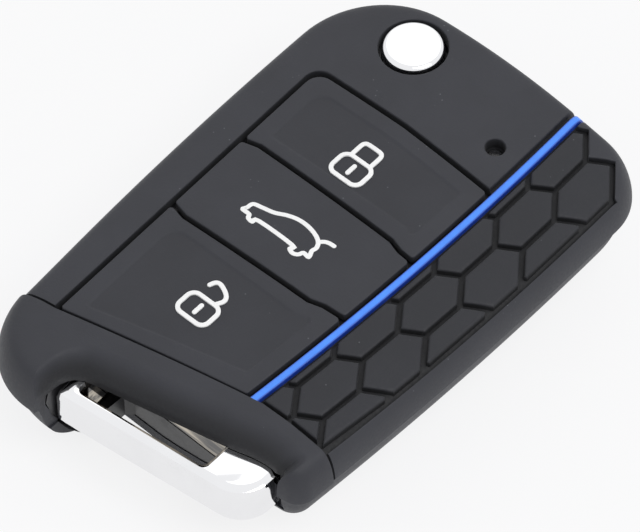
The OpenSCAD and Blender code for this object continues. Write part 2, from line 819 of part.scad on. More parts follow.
module rear_housing() {
  color([0.1, 0.1, 0.11])
    difference() {
      one_form() rear_shell();
      post(cell_at, cell_bore_r, 0, tray_z);
      post(pivot, pivot_r, key_depth + pin_foot, hub_low);
      for (p = loop_pins_at) post(p, loop_pin_d / 2, floor_top + pin_foot, tab_z);
      for (p = screws_at) {
        post(p, screw_r + fit, 0, split_h + over);
        post(p, screw_head_r + fit, 0, screw_z + screw_head_t);
      }
    }
}
module rear_shell() {
  difference() {
    union() {
      difference() {
        housing_block(undef, split_h);
        hollow(floor_top, split_h + over) rear_details();
      }
      post(cell_at, cell_bore_r + shell_wall - fit, split_h - shell_wall, tray_z - fit);
    }
    prism(cell_low, tray_z) contact_plan(fit);
    prism(channel_low, split_h + over) sweep_plan(channel_wide);
    prism(tab_z - fit, split_h + over) tab_plan(fit);
  }
}
rib_pitch = (blade_top - hollow_y) / rib_count;
pin_foot = 14 * fit;
screw_z = floor_top + shell_wall;
spring_wire = pivot_d * 0.18;
flip_spring_r = pivot_r + spring_wire / 2 + 3 * fit;
release_wire = 4 * fit;
button_low = hub_high + release_travel + 2 * fit;
recess_r = flip_spring_r + spring_wire / 2 + 2 * fit;
release_spring_r = (stem_r + recess_r) / 2;

module battery_cover() {
  color([0.12, 0.12, 0.13]) {
    difference() {
      union() {
        post(cell_at, cell_r + fit / 2, key_depth, floor_top);
        ring(cell_at, cell_r * 0.9, cell_r * 0.78, floor_top - fit / 2, cell_low - fit);
      }
      translate([cell_at.x - cell_r / 3, cell_at.y - groove_w, key_depth - over])
        cube([2 * cell_r / 3, 2 * groove_w, over + shell_wall / 3]);
    }
  }
}

module loop_outline(inset) {
  polygon(rounded([for (i = [0:len(loop_shares) - 1])
    let (
      s = loop_shares[i],
      dx = i < 2 ? inset : -inset,
      dy = i == 1 || i == 2 ? inset : -inset
    )
    [s.x * half_w + dx, s.y * half_l + dy, max(s[2] * half_w - inset, fit)]]));
}
loop_edge = loop_t * 0.2;
slot_corner = loop_t * 0.15;
module slot_outline(inset) {
  x = slot_x_share * half_w;
  w = loop_slot_w / 2 + inset;
  polygon(rounded([
    [x - w, slot_shares[0] * half_l + inset, slot_corner],
    [x - w, slot_shares[1] * half_l - inset, slot_corner],
    [x + w, slot_shares[2] * half_l - inset, slot_corner],
    [x + w, slot_shares[0] * half_l + inset, slot_corner]
  ]));
}
module key_ring_loop() {
  color([0.86, 0.86, 0.87])
    difference() {
      union() {
        hull() {
          prism(loop_z, loop_high) loop_outline(loop_edge);
          prism(loop_z + 0.3 * loop_edge, loop_high - 0.3 * loop_edge)
            loop_outline(0.3 * loop_edge);
          prism(loop_z + loop_edge, loop_high - loop_edge) loop_outline(0);
        }
        prism(tab_z, tab_z + tab_t) tab_plan(0);
      }
      prism(loop_z - over, loop_high + over) slot_outline(0);
      for (z = [[loop_z - fit, loop_z + loop_edge / 2], [loop_high + fit, loop_high - loop_edge / 2]])
        hull() {
          translate([0, 0, z[0]]) linear_extrude(fit / 2) slot_outline(loop_edge / 2);
          translate([0, 0, z[1]]) linear_extrude(fit / 2) slot_outline(0);
        }
      for (p = loop_pins_at)
        post(p, loop_pin_d / 2 + fit / 2, tab_z - over, tab_z + tab_t + over);
    }
}

module loop_pins() {
  color([0.7, 0.7, 0.72])
    for (p = loop_pins_at)
      post(p, loop_pin_d / 2, floor_top + pin_foot, tab_z + tab_t + 2 * fit);
}

module housing_screws() {
  color([0.6, 0.6, 0.62])
    for (p = screws_at)
      difference() {
        union() {
          post(p, screw_head_r, screw_z, screw_z + screw_head_t);
          post(p, screw_r, screw_z, screw_top - fit);
        }
        for (turn = [0, 90])
          translate([p.x, p.y, screw_z]) rotate(turn)
            cube([screw_d, screw_d / 4, screw_head_t], center = true);
      }
}

// Heights of the release button
cap_top = face_z(pivot.x) + release_proud;
flange_high = face_z(pivot.x - release_r) - inner_depth - fit;
flange_low = flange_high - 5 * fit;
cap_round = release_proud * 2;
module release_button() {
  color([0.8, 0.81, 0.83])
    translate([pivot.x, pivot.y, 0]) rotate_extrude($fn = round_fn)
      polygon(concat(
        [[0, flange_low], [recess_r, flange_low], [recess_r, button_low],
          [stem_r, button_low], [stem_r, flange_low],
          [release_r + 3 * fit, flange_low], [release_r + 3 * fit, flange_high],
          [release_r, flange_high], [release_r, cap_top - cap_round]],
        [for (a = [30, 60, 90])
          [release_r - cap_round * (1 - cos(a)), cap_top - cap_round * (1 - sin(a))]],
        [[0, cap_top + release_proud / 2]]
      ));
}

// A round wire wound into a helix of a number of turns between two heights
module helix(place, r, wire, low, high, turns) {
  steps = 16;
  sides = 6;
  n = steps * turns;
  rise = high - low - wire;
  skin([for (i = [0:n])
    let (a = 360 * i / steps)
    [for (k = [sides - 1:-1:0])
      let (b = 360 * k / sides, d = r + wire / 2 * cos(b))
      [place.x + d * cos(a), place.y + d * sin(a),
        low + wire / 2 + rise * i / n + wire / 2 * sin(b)]]]);
}
spring_turns = 3;
module release_spring() {
  color([0.7, 0.7, 0.72])
    helix(pivot, release_spring_r, release_wire, hub_floor, button_low, spring_turns);
}
module flip_spring() {
  color([0.6, 0.6, 0.6])
    helix(pivot, flip_spring_r, spring_wire, hub_floor, hub_high, spring_turns);
}
module pivot_pin() {
  color([0.7, 0.7, 0.72]) post(pivot, pivot_r, key_depth + pin_foot, hub_high);
}

neck_low = blade_top - pivot.y;
tang_t = blade_t * 0.6;
tang_w = blade_w * 0.6;
tang_l = neck_l * 0.45;
blade_pin_r = pivot_r / 2;
tang_x = pivot.x - blade_offset;
module blade_hub() {
  color([0.55, 0.55, 0.57])
    difference() {
      union() {
        post(pivot, hub_r, hub_low, hub_high);
        translate(pivot) prism(hub_low, hub_high) polygon([
          [-0.7 * hub_r, 0.7 * hub_r], [-blade_out, -0.75 * hub_r], [-blade_out, neck_low],
          [-blade_in, neck_low], [-blade_in, -0.93 * hub_r], [0, 0]
        ]);
      }
      post(pivot, stem_r + fit, hub_floor, board_top + over);
      post(pivot, pivot_r + pivot_play, hub_low - over, hub_floor + over);
      translate([tang_x - tang_w / 2, blade_top - over, blade_mid - tang_t / 2])
        cube([tang_w, tang_l + over, tang_t]);
      post([tang_x, blade_top + tang_l / 2], blade_pin_r, hub_low - over, hub_high + over);
    }
}
module blade_pin() {
  color([0.7, 0.7, 0.72])
    post([tang_x, blade_top + tang_l / 2], blade_pin_r, hub_low, hub_high);
}
track_w = blade_w * 0.26;
track_d = blade_t * 0.22;
track_wave = blade_w * 0.12;
track_steps = 24;
module key_blade() {
  low = blade_tip;
  color([0.72, 0.72, 0.74])
    difference() {
      union() {
        prism(blade_mid - blade_t / 2, blade_mid + blade_t / 2) polygon([
          [tang_x - blade_w / 2, blade_top], [tang_x - blade_w / 2, low + blade_w * 0.3],
          [tang_x - blade_w * 0.2, low], [tang_x + blade_w * 0.2, low],
          [tang_x + blade_w / 2, low + blade_w * 0.3], [tang_x + blade_w / 2, blade_top]
        ]);
        translate([tang_x - tang_w / 2, blade_top - over, blade_mid - tang_t / 2])
          cube([tang_w, tang_l + over, tang_t]);
      }
      for (side = [-1, 1])
        translate([0, 0, side > 0 ? blade_mid + blade_t / 2 - track_d : blade_mid - blade_t / 2 - over])
          linear_extrude(over + track_d) track_plan(side);
      post([tang_x, blade_top + tang_l / 2], blade_pin_r, 0, cover_h);
    }
}
// The milled track winds along the blade and runs out at its tip
module track_plan(side) {
  start = blade_top - 0.12 * blade_l;
  path = [for (i = [0:track_steps])
    let (y = start + (blade_tip - over - start) * i / track_steps)
    [tang_x + side * track_wave * sin(360 * 2.5 * i / track_steps), y]];
  polygon(moved_band(path, track_w));
}
function moved_band(path, w) =
  concat(moved(path, w / 2, false), reversed(moved(path, -w / 2, false)));

// A key's cap fills its window up to the pad, its flange hooks under the wall and
// its post stands on the plunger
module key_cap(i) {
  color([0.2, 0.2, 0.21]) {
    face_layer(pad_t, cap_drop) key_plan(i, 0);
    face_layer(cap_drop, cap_drop + flange_t) key_plan(i, key_margin);
    post([keys_x, keys_y[i]], 2 * plunger_r, plunger_top, face_z(keys_x) - cap_drop - fit);
  }
}
module lock_key() { key_cap(0); }
module boot_key() { key_cap(1); }
module unlock_key() { key_cap(2); }

seal_w = 6 * fit;
module keypad_seal() {
  x = key_w / 2 + key_margin + seal_w;
  color([0.35, 0.35, 0.36])
    face_layer(cap_drop, cap_drop + flange_t)
      difference() {
        square_to([keys_x - x, keys_y[2] - keys_l[2] / 2 - key_margin - seal_w * 0.4],
          [keys_x + x, keys_y[0] + keys_l[0] / 2 + key_margin + seal_w]);
        for (i = [0:2]) key_plan(i, key_margin + 2 * fit);
      }
}

module light_pipe() {
  color([0.75, 0.85, 0.95])
    post(light_at, light_r, board_top + light_h + fit, face_z(light_at.x) - key_depth);
}
light_h = 8 * fit;

board_shares = [
  [-0.77, -0.572, 0.05], [0.775, -0.572, 0.05], [0.775, 0.84, 0.1], [-0.1, 0.84, 0.05],
  [-0.1, 0.62, 0.05], [-0.77, 0.62, 0.05]
];
module board_plan(low_y) {
  intersection() {
    difference() {
      polygon(rounded_at(board_shares));
      translate(pivot) circle(r = stem_r + 9 * fit, $fn = round_fn);
      translate(screws_at[0]) circle(r = screw_boss_r + 3 * fit, $fn = round_fn);
    }
    square_to([-half_w, low_y], [half_w, half_l]);
  }
}
module circuit_board() {
  color([0.1, 0.4, 0.22]) prism(board_z, board_top) board_plan(-half_l);
}
tray_y = loop_pins_at[0].y + tab_w / 2 + 10 * fit;
module board_tray() {
  color([0.16, 0.16, 0.17])
    difference() {
      prism(tray_z, tray_z + tray_t) board_plan(tray_y);
      post(cell_at, cell_r * 0.8, tray_z - over, board_z);
      prism(tray_z - over, board_z) contact_plan(fit);
    }
}

module push_switch(i) {
  color([0.8, 0.8, 0.78])
    difference() {
      translate([keys_x - switch_side / 2, keys_y[i] - switch_side / 2, board_top])
        cube([switch_side, switch_side, switch_h]);
      post([keys_x, keys_y[i]], plunger_r + fit / 2, board_top + fit, board_top + over);
    }
}
module plunger(i) {
  color([0.15, 0.15, 0.15])
    post([keys_x, keys_y[i]], plunger_r, board_top + press_travel + fit, plunger_top);
}
module lock_switch() { push_switch(0); }
module boot_switch() { push_switch(1); }
module unlock_switch() { push_switch(2); }
module lock_plunger() { plunger(0); }
module boot_plunger() { plunger(1); }
module unlock_plunger() { plunger(2); }

// A small block on the board, its middle given as shares and its size in lengths
module on_board(share, size) {
  p = at(share);
  translate([p.x - size.x / 2, p.y - size.y / 2, board_top]) cube(size);
}
module status_light() {
  color([0.9, 0.3, 0.25]) on_board([0.2875, 0.667], [2 * light_h, 2 * light_h, light_h]);
}
module radio_chip() {
  color([0.12, 0.12, 0.12]) on_board([0.61, 0.26], [1.2 * switch_side, 1.2 * switch_side, light_h]);
}
module crystal() {
  color([0.75, 0.75, 0.75]) on_board([0.61, 0], [0.8 * switch_side, 0.6 * switch_side, light_h]);
}
module aerial_coil() {
  color([0.5, 0.3, 0.15]) on_board([0.62, -0.4], [0.9 * switch_side, 2 * switch_side, light_h * 1.5]);
}
chip_size = [12, 6, 3];
module transponder_chip() {
  p = at([0.27, 0.52]);
  color([0.15, 0.15, 0.16])
    translate([p.x - chip_size.x / 2, p.y - chip_size.y / 2, floor_top + fit]) cube(chip_size);
}

module coin_cell() {
  color([0.75, 0.76, 0.77]) {
    post(cell_at, cell_r, cell_low, cell_low + cell_t * 0.75);
    post(cell_at, cell_r * 0.88, cell_low, cell_low + cell_t);
  }
}
module cell_top_contact() {
  color([0.8, 0.72, 0.45]) {
    translate([cell_at.x - contact_w / 2, cell_at.y - contact_w / 2, cell_low + cell_t])
      cube([contact_w, contact_w, contact_t]);
    translate([cell_at.x - contact_w / 2, cell_at.y - contact_w / 2, cell_low + cell_t])
      cube([contact_t, contact_w, board_z - cell_low - cell_t]);
  }
}
module cell_side_contact() {
  color([0.8, 0.72, 0.45]) prism(cell_low + contact_t, board_z) contact_plan(0);
}

silicone_cover();
accent_stripe();
lock_pad();
boot_pad();
unlock_pad();
lock_symbol();
boot_symbol();
unlock_symbol();
front_housing();
rear_housing();
battery_cover();
key_ring_loop();
loop_pins();
housing_screws();
release_button();
release_spring();
blade_hub();
key_blade();
blade_pin();
pivot_pin();
flip_spring();
lock_key();
boot_key();
unlock_key();
keypad_seal();
light_pipe();
circuit_board();
board_tray();
lock_switch();
boot_switch();
unlock_switch();
lock_plunger();
boot_plunger();
unlock_plunger();
status_light();
radio_chip();
crystal();
aerial_coil();
transponder_chip();
coin_cell();
cell_top_contact();
cell_side_contact();
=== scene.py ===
"""Studio scene of a moulded silicone cover over a folding car key.

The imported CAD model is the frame. The soft cover, its pads and its coloured strip
are modelled here again with rounded edges, the metal fittings get fine bevels, and
every other node keeps its CAD shape and gets a procedural finish.
"""
from __future__ import annotations

import json
import logging
import math
from dataclasses import dataclass, field
from enum import Enum
from typing import Iterable, Sequence, Union

import bmesh
import bpy
import numpy as np
from mathutils import Matrix, Vector

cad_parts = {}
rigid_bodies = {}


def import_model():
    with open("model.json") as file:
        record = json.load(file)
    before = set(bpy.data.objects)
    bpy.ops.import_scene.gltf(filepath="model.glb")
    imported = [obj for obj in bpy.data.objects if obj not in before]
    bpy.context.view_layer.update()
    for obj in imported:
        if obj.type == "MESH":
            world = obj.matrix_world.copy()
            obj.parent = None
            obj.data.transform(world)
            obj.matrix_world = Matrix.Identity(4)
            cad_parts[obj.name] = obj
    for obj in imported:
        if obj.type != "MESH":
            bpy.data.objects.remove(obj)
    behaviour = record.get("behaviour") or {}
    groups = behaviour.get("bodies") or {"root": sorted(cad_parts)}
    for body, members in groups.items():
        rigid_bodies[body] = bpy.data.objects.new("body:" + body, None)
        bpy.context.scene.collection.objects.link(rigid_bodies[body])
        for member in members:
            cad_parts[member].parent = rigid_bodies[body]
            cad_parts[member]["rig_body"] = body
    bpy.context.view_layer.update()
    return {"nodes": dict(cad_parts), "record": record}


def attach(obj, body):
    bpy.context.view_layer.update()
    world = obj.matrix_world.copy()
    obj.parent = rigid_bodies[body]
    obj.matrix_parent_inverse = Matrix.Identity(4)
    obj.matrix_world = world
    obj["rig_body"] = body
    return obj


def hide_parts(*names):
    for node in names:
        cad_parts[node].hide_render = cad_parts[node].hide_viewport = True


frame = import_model()

MM = 0.001
Colour = tuple[float, float, float]
Points = Sequence[Sequence[float]]
Pairs = tuple[tuple[float, float], ...]
log = logging.getLogger("key_cover")

# Two points of a path nearer than this are one, in millimetres
ONE_PLACE = 0.02
# Least parts of an arc, and points of a line's round end with both its corners
ARC_PARTS = 3
END_POINTS = 10
# Least cosine that a mitre is worked out by, which keeps sharp corners short
MITRE = 0.3


# ----- plan geometry, in millimetres -----


def unit(rows: np.ndarray) -> np.ndarray:
    """Brings each vector to a length of one."""
    return rows / np.linalg.norm(rows, axis=-1, keepdims=True)


def left_of(rows: np.ndarray) -> np.ndarray:
    """Turns each vector of the plan a quarter turn to the left."""
    return np.stack([-rows[:, 1], rows[:, 0]], axis=1)


def flow(
    points: Points, steps: int, after: Sequence[float] | None = None, closed: bool = False
) -> np.ndarray:
    """Carries a smooth line through points.

    Args:
        points: The points that the line passes.
        steps: Parts that each span is divided into.
        after: A point beyond the last one, which gives the line its end direction.
        closed: Whether the line comes back to its first point.

    Returns:
        The line's points, with both ends, or without the last one where it is closed.
    """
    given = np.asarray(points, float)
    if closed:
        lap, count = 2, len(given)
        whole = flow(np.vstack([given[-lap:], given, given[:lap]]), steps)
        return whole[lap * steps:(lap + count) * steps]
    end = 2 * given[-1] - given[-2] if after is None else np.asarray(after, float)
    line = np.vstack([2 * given[0] - given[1], given, end])
    made = []
    for a, b, c, d in zip(line, line[1:], line[2:], line[3:]):
        square, cube = 2 * a - 5 * b + 4 * c - d, 3 * b - a - 3 * c + d
        for t in np.linspace(0, 1, steps, endpoint=False):
            made.append(0.5 * (2 * b + (c - a) * t + square * t**2 + cube * t**3))
    return np.array(made + [given[-1]])


def rounded(corners: Points, turn: float = 6.0, pitch: float = 50.0) -> np.ndarray:
    """Rounds the corners of a closed outline.

    Args:
        corners: The corners as x, y and radius.
        turn: Greatest turn between two points of an arc, in degrees.
        pitch: Greatest distance between two points of an arc.

    Returns:
        The outline's points.
    """
    made = []
    for i, (x, y, r) in enumerate(corners):
        b = np.array([x, y], float)
        if r <= 0:
            made.append(b)
            continue
        u = unit(np.array(corners[i - 1][:2], float) - b)
        v = unit(np.array(corners[(i + 1) % len(corners)][:2], float) - b)
        half = math.acos(float(np.clip(u @ v, -1, 1))) / 2
        arm = u * r / math.tan(half) - unit(u + v) * r / math.sin(half)
        centre = b + unit(u + v) * r / math.sin(half)
        sweep = (math.pi - 2 * half) * (-1 if u[0] * v[1] > u[1] * v[0] else 1)
        by_turn, by_pitch = math.degrees(abs(sweep)) / turn, abs(sweep) * r / pitch
        steps = max(ARC_PARTS, math.ceil(by_turn), math.ceil(by_pitch))
        for s in np.linspace(0, sweep, steps + 1):
            c, n = math.cos(s), math.sin(s)
            made.append(centre + [arm[0] * c - arm[1] * n, arm[0] * n + arm[1] * c])
    return np.array(made)


def spaced(path: np.ndarray, pitch: float) -> np.ndarray:
    """Divides the long sides of a closed path.

    Args:
        path: The path's points.
        pitch: Greatest distance left between two points.

    Returns:
        The path with more points, and no two in one place.
    """
    made = []
    for a, b in zip(path, np.roll(path, -1, axis=0)):
        gap = float(np.linalg.norm(b - a))
        if gap > ONE_PLACE:
            count = max(1, math.ceil(gap / pitch))
            made += [a + (b - a) * k / count for k in range(count)]
    return np.array(made)


def moved(path: np.ndarray, by: float) -> np.ndarray:
    """Moves a closed path sideways, inwards where it runs anticlockwise.

    Args:
        path: The path's points.
        by: The distance, to the left of the path's direction.

    Returns:
        The moved path, its corners mitred.
    """
    into = unit(path - np.roll(path, 1, axis=0))
    out = unit(np.roll(path, -1, axis=0) - path)
    mean = unit(into + out)
    return path + left_of(mean) * (by / np.maximum(MITRE, (mean * into).sum(1)))[:, None]


def ribbon(path: np.ndarray, width: float) -> np.ndarray:
    """Gives the outline of a line with round ends.

    Args:
        path: The line's points.
        width: Its width.

    Returns:
        The outline, anticlockwise.
    """
    into = unit(np.diff(path, axis=0))
    into, out = np.vstack([into[:1], into]), np.vstack([into, into[-1:]])
    mean = unit(into + out)
    side = left_of(mean) * (width / 2 / (mean * into).sum(1))[:, None]
    ends = []
    for place, way in ((path[-1], out[-1]), (path[0], -into[0])):
        start = math.atan2(way[1], way[0]) - math.pi / 2
        turn = start + np.linspace(0, math.pi, END_POINTS)[1:-1]
        ends.append(place + np.column_stack([np.cos(turn), np.sin(turn)]) * width / 2)
    return np.vstack([path - side, ends[0], (path + side)[::-1], ends[1]])


def clipped(path: np.ndarray, place: Sequence[float], outward: Sequence[float]) -> np.ndarray:
    """Cuts off what a closed path has beyond a line.

    Args:
        path: The path's points.
        place: A point of the line.
        outward: The direction across the line in which all goes.

    Returns:
        What is left of the path, or no points.
    """
    bm = bmesh.new()
    bm.faces.new([bm.verts.new((x, y, 0)) for x, y in path])
    bmesh.ops.bisect_plane(
        bm, geom=bm.verts[:] + bm.edges[:] + bm.faces[:], dist=1e-6,
        plane_co=(*place, 0), plane_no=(*outward, 0), clear_outer=True,
    )
    bm.faces.ensure_lookup_table()
    left = [[v.co.x, v.co.y] for v in bm.faces[0].verts] if bm.faces else []
    bm.free()
    return np.array(left)


# ----- the scene's objects -----


def shown(name: str, data: bpy.types.ID) -> bpy.types.Object:
    """Puts an object with this data into the scene.

    Args:
        name: The object's name.
        data: Its mesh, camera or light.

    Returns:
        The object.
    """
    made = bpy.data.objects.new(name, data)
    bpy.context.scene.collection.objects.link(made)
    return made


def places_of(mesh: bpy.types.Mesh) -> np.ndarray:
    """Gives the places of a mesh's points.

    Args:
        mesh: The mesh.

    Returns:
        A row for each point, in millimetres.
    """
    flat = np.zeros(len(mesh.vertices) * 3)
    mesh.vertices.foreach_get("co", flat)
    return flat.reshape(-1, 3) / MM


def mark(mesh: bpy.types.Mesh, name: str, values: np.ndarray) -> None:
    """Writes a value for each point of a mesh, which a finish reads by its name."""
    mesh.attributes.new(name, "FLOAT", "POINT").data.foreach_set("value", values)


# ----- solids -----


class Cut(Enum):
    """How two solids are combined."""

    MINUS = "DIFFERENCE"
    PLUS = "UNION"
    COMMON = "INTERSECT"


class Solid:
    """A closed form in millimetres, shaped by bmesh operators."""

    # Distances within which points are merged: in a form, and in a CAD node's loose faces
    MERGE = 1e-4
    WELD = 2e-3
    # Angles in degrees: faces within the first become one, edges past the second stay sharp
    FLAT = 0.8
    SHARP = 34.0
    # Least upright share of the normal of a face that follows the skin
    UPRIGHT = 0.9
    # Faces of the simplest closed form
    FEWEST = 4

    def __init__(self, bm: bmesh.types.BMesh) -> None:
        """Keeps the mesh that is shaped."""
        self.bm = bm

    @classmethod
    def loft(cls, rings: Sequence[np.ndarray], peak: float | None = None) -> "Solid":
        """Extrudes the first ring through the others.

        Args:
            rings: Rings of as many points each.
            peak: Height of a point that the last ring closes onto, or flat without one.

        Returns:
            The closed form.
        """
        bm = bmesh.new()
        verts = [bm.verts.new(p) for p in rings[0]]
        cap = bm.faces.new(verts)
        for k, ring in enumerate(rings[1:]):
            under = cap
            made = bmesh.ops.extrude_face_region(bm, geom=[cap])["geom"]
            cap = next(g for g in made if isinstance(g, bmesh.types.BMFace))
            if k:
                bmesh.ops.delete(bm, geom=[under], context="FACES_ONLY")
            fresh = {tuple(v.co): v for v in made if isinstance(v, bmesh.types.BMVert)}
            verts = [fresh[tuple(v.co)] for v in verts]
            for vert, place in zip(verts, ring):
                vert.co = place
        if peak is not None:
            tip = bmesh.ops.poke(bm, faces=[cap])["verts"][0]
            tip.co.z = peak
        bmesh.ops.recalc_face_normals(bm, faces=bm.faces[:])
        return cls(bm)

    @classmethod
    def prism(cls, plan: np.ndarray, low: float, high: float) -> "Solid":
        """Extrudes a plan between two heights."""
        return cls.loft([np.insert(plan, 2, z, axis=1) for z in (low, high)])

    @classmethod
    def copied(cls, node: str) -> "Solid":
        """Takes a merged copy of a CAD node.

        Args:
            node: The node's name.

        Returns:
            The copy, with flat faces in one piece.
        """
        bm = bmesh.new()
        bm.from_mesh(frame["nodes"][node].data)
        bmesh.ops.scale(bm, vec=(1 / MM,) * 3, verts=bm.verts[:])
        bmesh.ops.remove_doubles(bm, verts=bm.verts[:], dist=cls.WELD)
        bmesh.ops.dissolve_limit(
            bm, angle_limit=math.radians(cls.FLAT), verts=bm.verts[:], edges=bm.edges[:]
        )
        return cls(bm)

    @classmethod
    def joined(cls, parts: Sequence["Solid"]) -> "Solid":
        """Puts separate forms into one.

        Args:
            parts: The forms, which are used up.

        Returns:
            The form that holds them all.
        """
        bm = bmesh.new()
        for part in parts:
            mesh = bpy.data.meshes.new("scratch")
            part.bm.to_mesh(mesh)
            bm.from_mesh(mesh)
            bpy.data.meshes.remove(mesh)
            part.bm.free()
        return cls(bm)

    def diced(self, xs: Iterable[float], ys: Iterable[float]) -> "Solid":
        """Divides the faces along lines, so that they can follow a curved skin.

        Args:
            xs: Places of the cuts across the width.
            ys: Places of the cuts along the length.

        Returns:
            The solid itself.
        """
        flat = [f for f in self.bm.faces if abs(f.normal.z) > self.UPRIGHT]
        bmesh.ops.triangulate(self.bm, faces=flat)
        across = [((x, 0, 0), (1, 0, 0)) for x in xs]
        along = [((0, y, 0), (0, 1, 0)) for y in ys]
        for place, normal in across + along:
            bmesh.ops.bisect_plane(
                self.bm, geom=self.bm.verts[:] + self.bm.edges[:] + self.bm.faces[:],
                dist=self.MERGE, plane_co=place, plane_no=normal,
            )
        return self

    def softened(self, width: float, segments: int, angle: float) -> "Solid":
        """Bevels the sharp edges.

        Args:
            width: Width of the bevel.
            segments: Faces across it.
            angle: Least angle of an edge that is bevelled, in degrees.

        Returns:
            The solid itself.
        """
        least = math.radians(angle)
        edges = [e for e in self.bm.edges if e.is_manifold and e.calc_face_angle(0.0) > least]
        bmesh.ops.bevel(
            self.bm, geom=edges, offset=width, offset_type="OFFSET", segments=segments,
            profile=0.5, affect="EDGES", clamp_overlap=True, material=-1,
        )
        return self

    def _scratch(self) -> bpy.types.Object:
        """Puts the form into the scene for a modifier.

        Returns:
            The object, which the caller removes.
        """
        mesh = bpy.data.meshes.new("scratch")
        self.bm.to_mesh(mesh)
        return shown("scratch", mesh)

    def with_(self, other: "Solid", cut: Cut) -> "Solid":
        """Combines the form with another one.

        Args:
            other: The other form, which is used up.
            cut: How they are combined.

        Returns:
            The solid itself.
        """
        first, second = self._scratch(), other._scratch()
        modifier = first.modifiers.new("cut", "BOOLEAN")
        modifier.operation = cut.value
        modifier.object = second
        result = None
        for solver in ("MANIFOLD", "EXACT"):
            modifier.solver = solver
            deps = bpy.context.evaluated_depsgraph_get()
            result = bpy.data.meshes.new_from_object(first.evaluated_get(deps))
            if len(result.polygons) >= self.FEWEST:
                break
            log.warning("the solver %s gave nothing for %s", solver, cut.name)
        self.bm.clear()
        self.bm.from_mesh(result)
        other.bm.free()
        for obj in (first, second):
            bpy.data.objects.remove(obj)
        return self

    def piece(
        self,
        name: str,
        look: "Finish",
        body: str,
        slot: str,
        nodes: Sequence[str] = (),
        form: "CoverForm | None" = None,
    ) -> bpy.types.Object:
        """Finishes the form as a piece of the scene.

        Args:
            name: The piece's name.
            look: Its finish.
            body: The CAD body that it rides on.
            slot: The record's material slot; not used.
            nodes: CAD nodes that it stands for.
            form: The cover's form, by which the finish paints shade on what lies under its skin.

        Returns:
            The piece.
        """
        bmesh.ops.remove_doubles(self.bm, verts=self.bm.verts[:], dist=self.MERGE)
        bmesh.ops.scale(self.bm, vec=(MM,) * 3, verts=self.bm.verts[:])
        rough = self._scratch()
        self.bm.free()
        rough.data.shade_smooth()
        rough.data.set_sharp_from_angle(angle=math.radians(self.SHARP))
        even = rough.modifiers.new("normals", "WEIGHTED_NORMAL")
        even.keep_sharp = True
        deps = bpy.context.evaluated_depsgraph_get()
        mesh = bpy.data.meshes.new_from_object(rough.evaluated_get(deps))
        bpy.data.objects.remove(rough)
        mesh.name = name
        mesh.materials.clear()
        mesh.materials.append(look.material())
        if form is not None:
            # Painted shade: each point's depth under the skin, which the finish darkens by
            mark(mesh, "recess", form.recess(places_of(mesh)))
        made = shown(name, mesh)
        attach(made, body)
        if nodes:
            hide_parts(*nodes)
        log.info("%s: %d faces", name, len(mesh.polygons))
        return made


# ----- materials -----


class Value:
    """An output of a material's nodes, on which sums are written."""

    def __init__(self, graph: "Graph", socket: bpy.types.NodeSocket) -> None:
        """Keeps the socket and the nodes that it belongs to."""
        self.graph = graph
        self.socket = socket

    def _sum(self, operation: str, first: Input, second: Input = 0.0) -> "Value":
        """Adds one Math node."""
        return self.graph.add("ShaderNodeMath", {"operation": operation}, {0: first, 1: second})

    def __add__(self, other: Input) -> "Value":
        """Adds."""
        return self._sum("ADD", self, other)

    __radd__ = __add__

    def __mul__(self, other: Input) -> "Value":
        """Multiplies."""
        return self._sum("MULTIPLY", self, other)

    __rmul__ = __mul__

    def __sub__(self, other: Input) -> "Value":
        """Takes another value away."""
        return self._sum("SUBTRACT", self, other)

    def __rsub__(self, other: Input) -> "Value":
        """Is taken away from another value."""
        return self._sum("SUBTRACT", other, self)

    def __truediv__(self, other: Input) -> "Value":
        """Divides."""
        return self._sum("DIVIDE", self, other)

    def __rtruediv__(self, other: Input) -> "Value":
        """Divides another value."""
        return self._sum("DIVIDE", other, self)

    def __pow__(self, other: Input) -> "Value":
        """Raises to a power."""
        return self._sum("POWER", self, other)

    def __rpow__(self, other: Input) -> "Value":
        """Raises another value to this one."""
        return self._sum("POWER", other, self)

    def __abs__(self) -> "Value":
        """Drops the sign."""
        return self._sum("ABSOLUTE", self)

    def between(
        self, low: float, high: float, to_low: float = 0.0, to_high: float = 1.0
    ) -> "Value":
        """Maps a span of the value onto another, clamped.

        Args:
            low: Start of the span.
            high: End of the span.
            to_low: What the start becomes.
            to_high: What the end becomes.

        Returns:
            The mapped value.
        """
        return self.graph.add(
            "ShaderNodeMapRange", {"interpolation_type": "SMOOTHSTEP"},
            {"Value": self, "From Min": low, "From Max": high, "To Min": to_low, "To Max": to_high},
        )


Input = Union[Value, int, float, Sequence[float]]
Key = Union[str, int]
Sockets = dict[Key, Input]


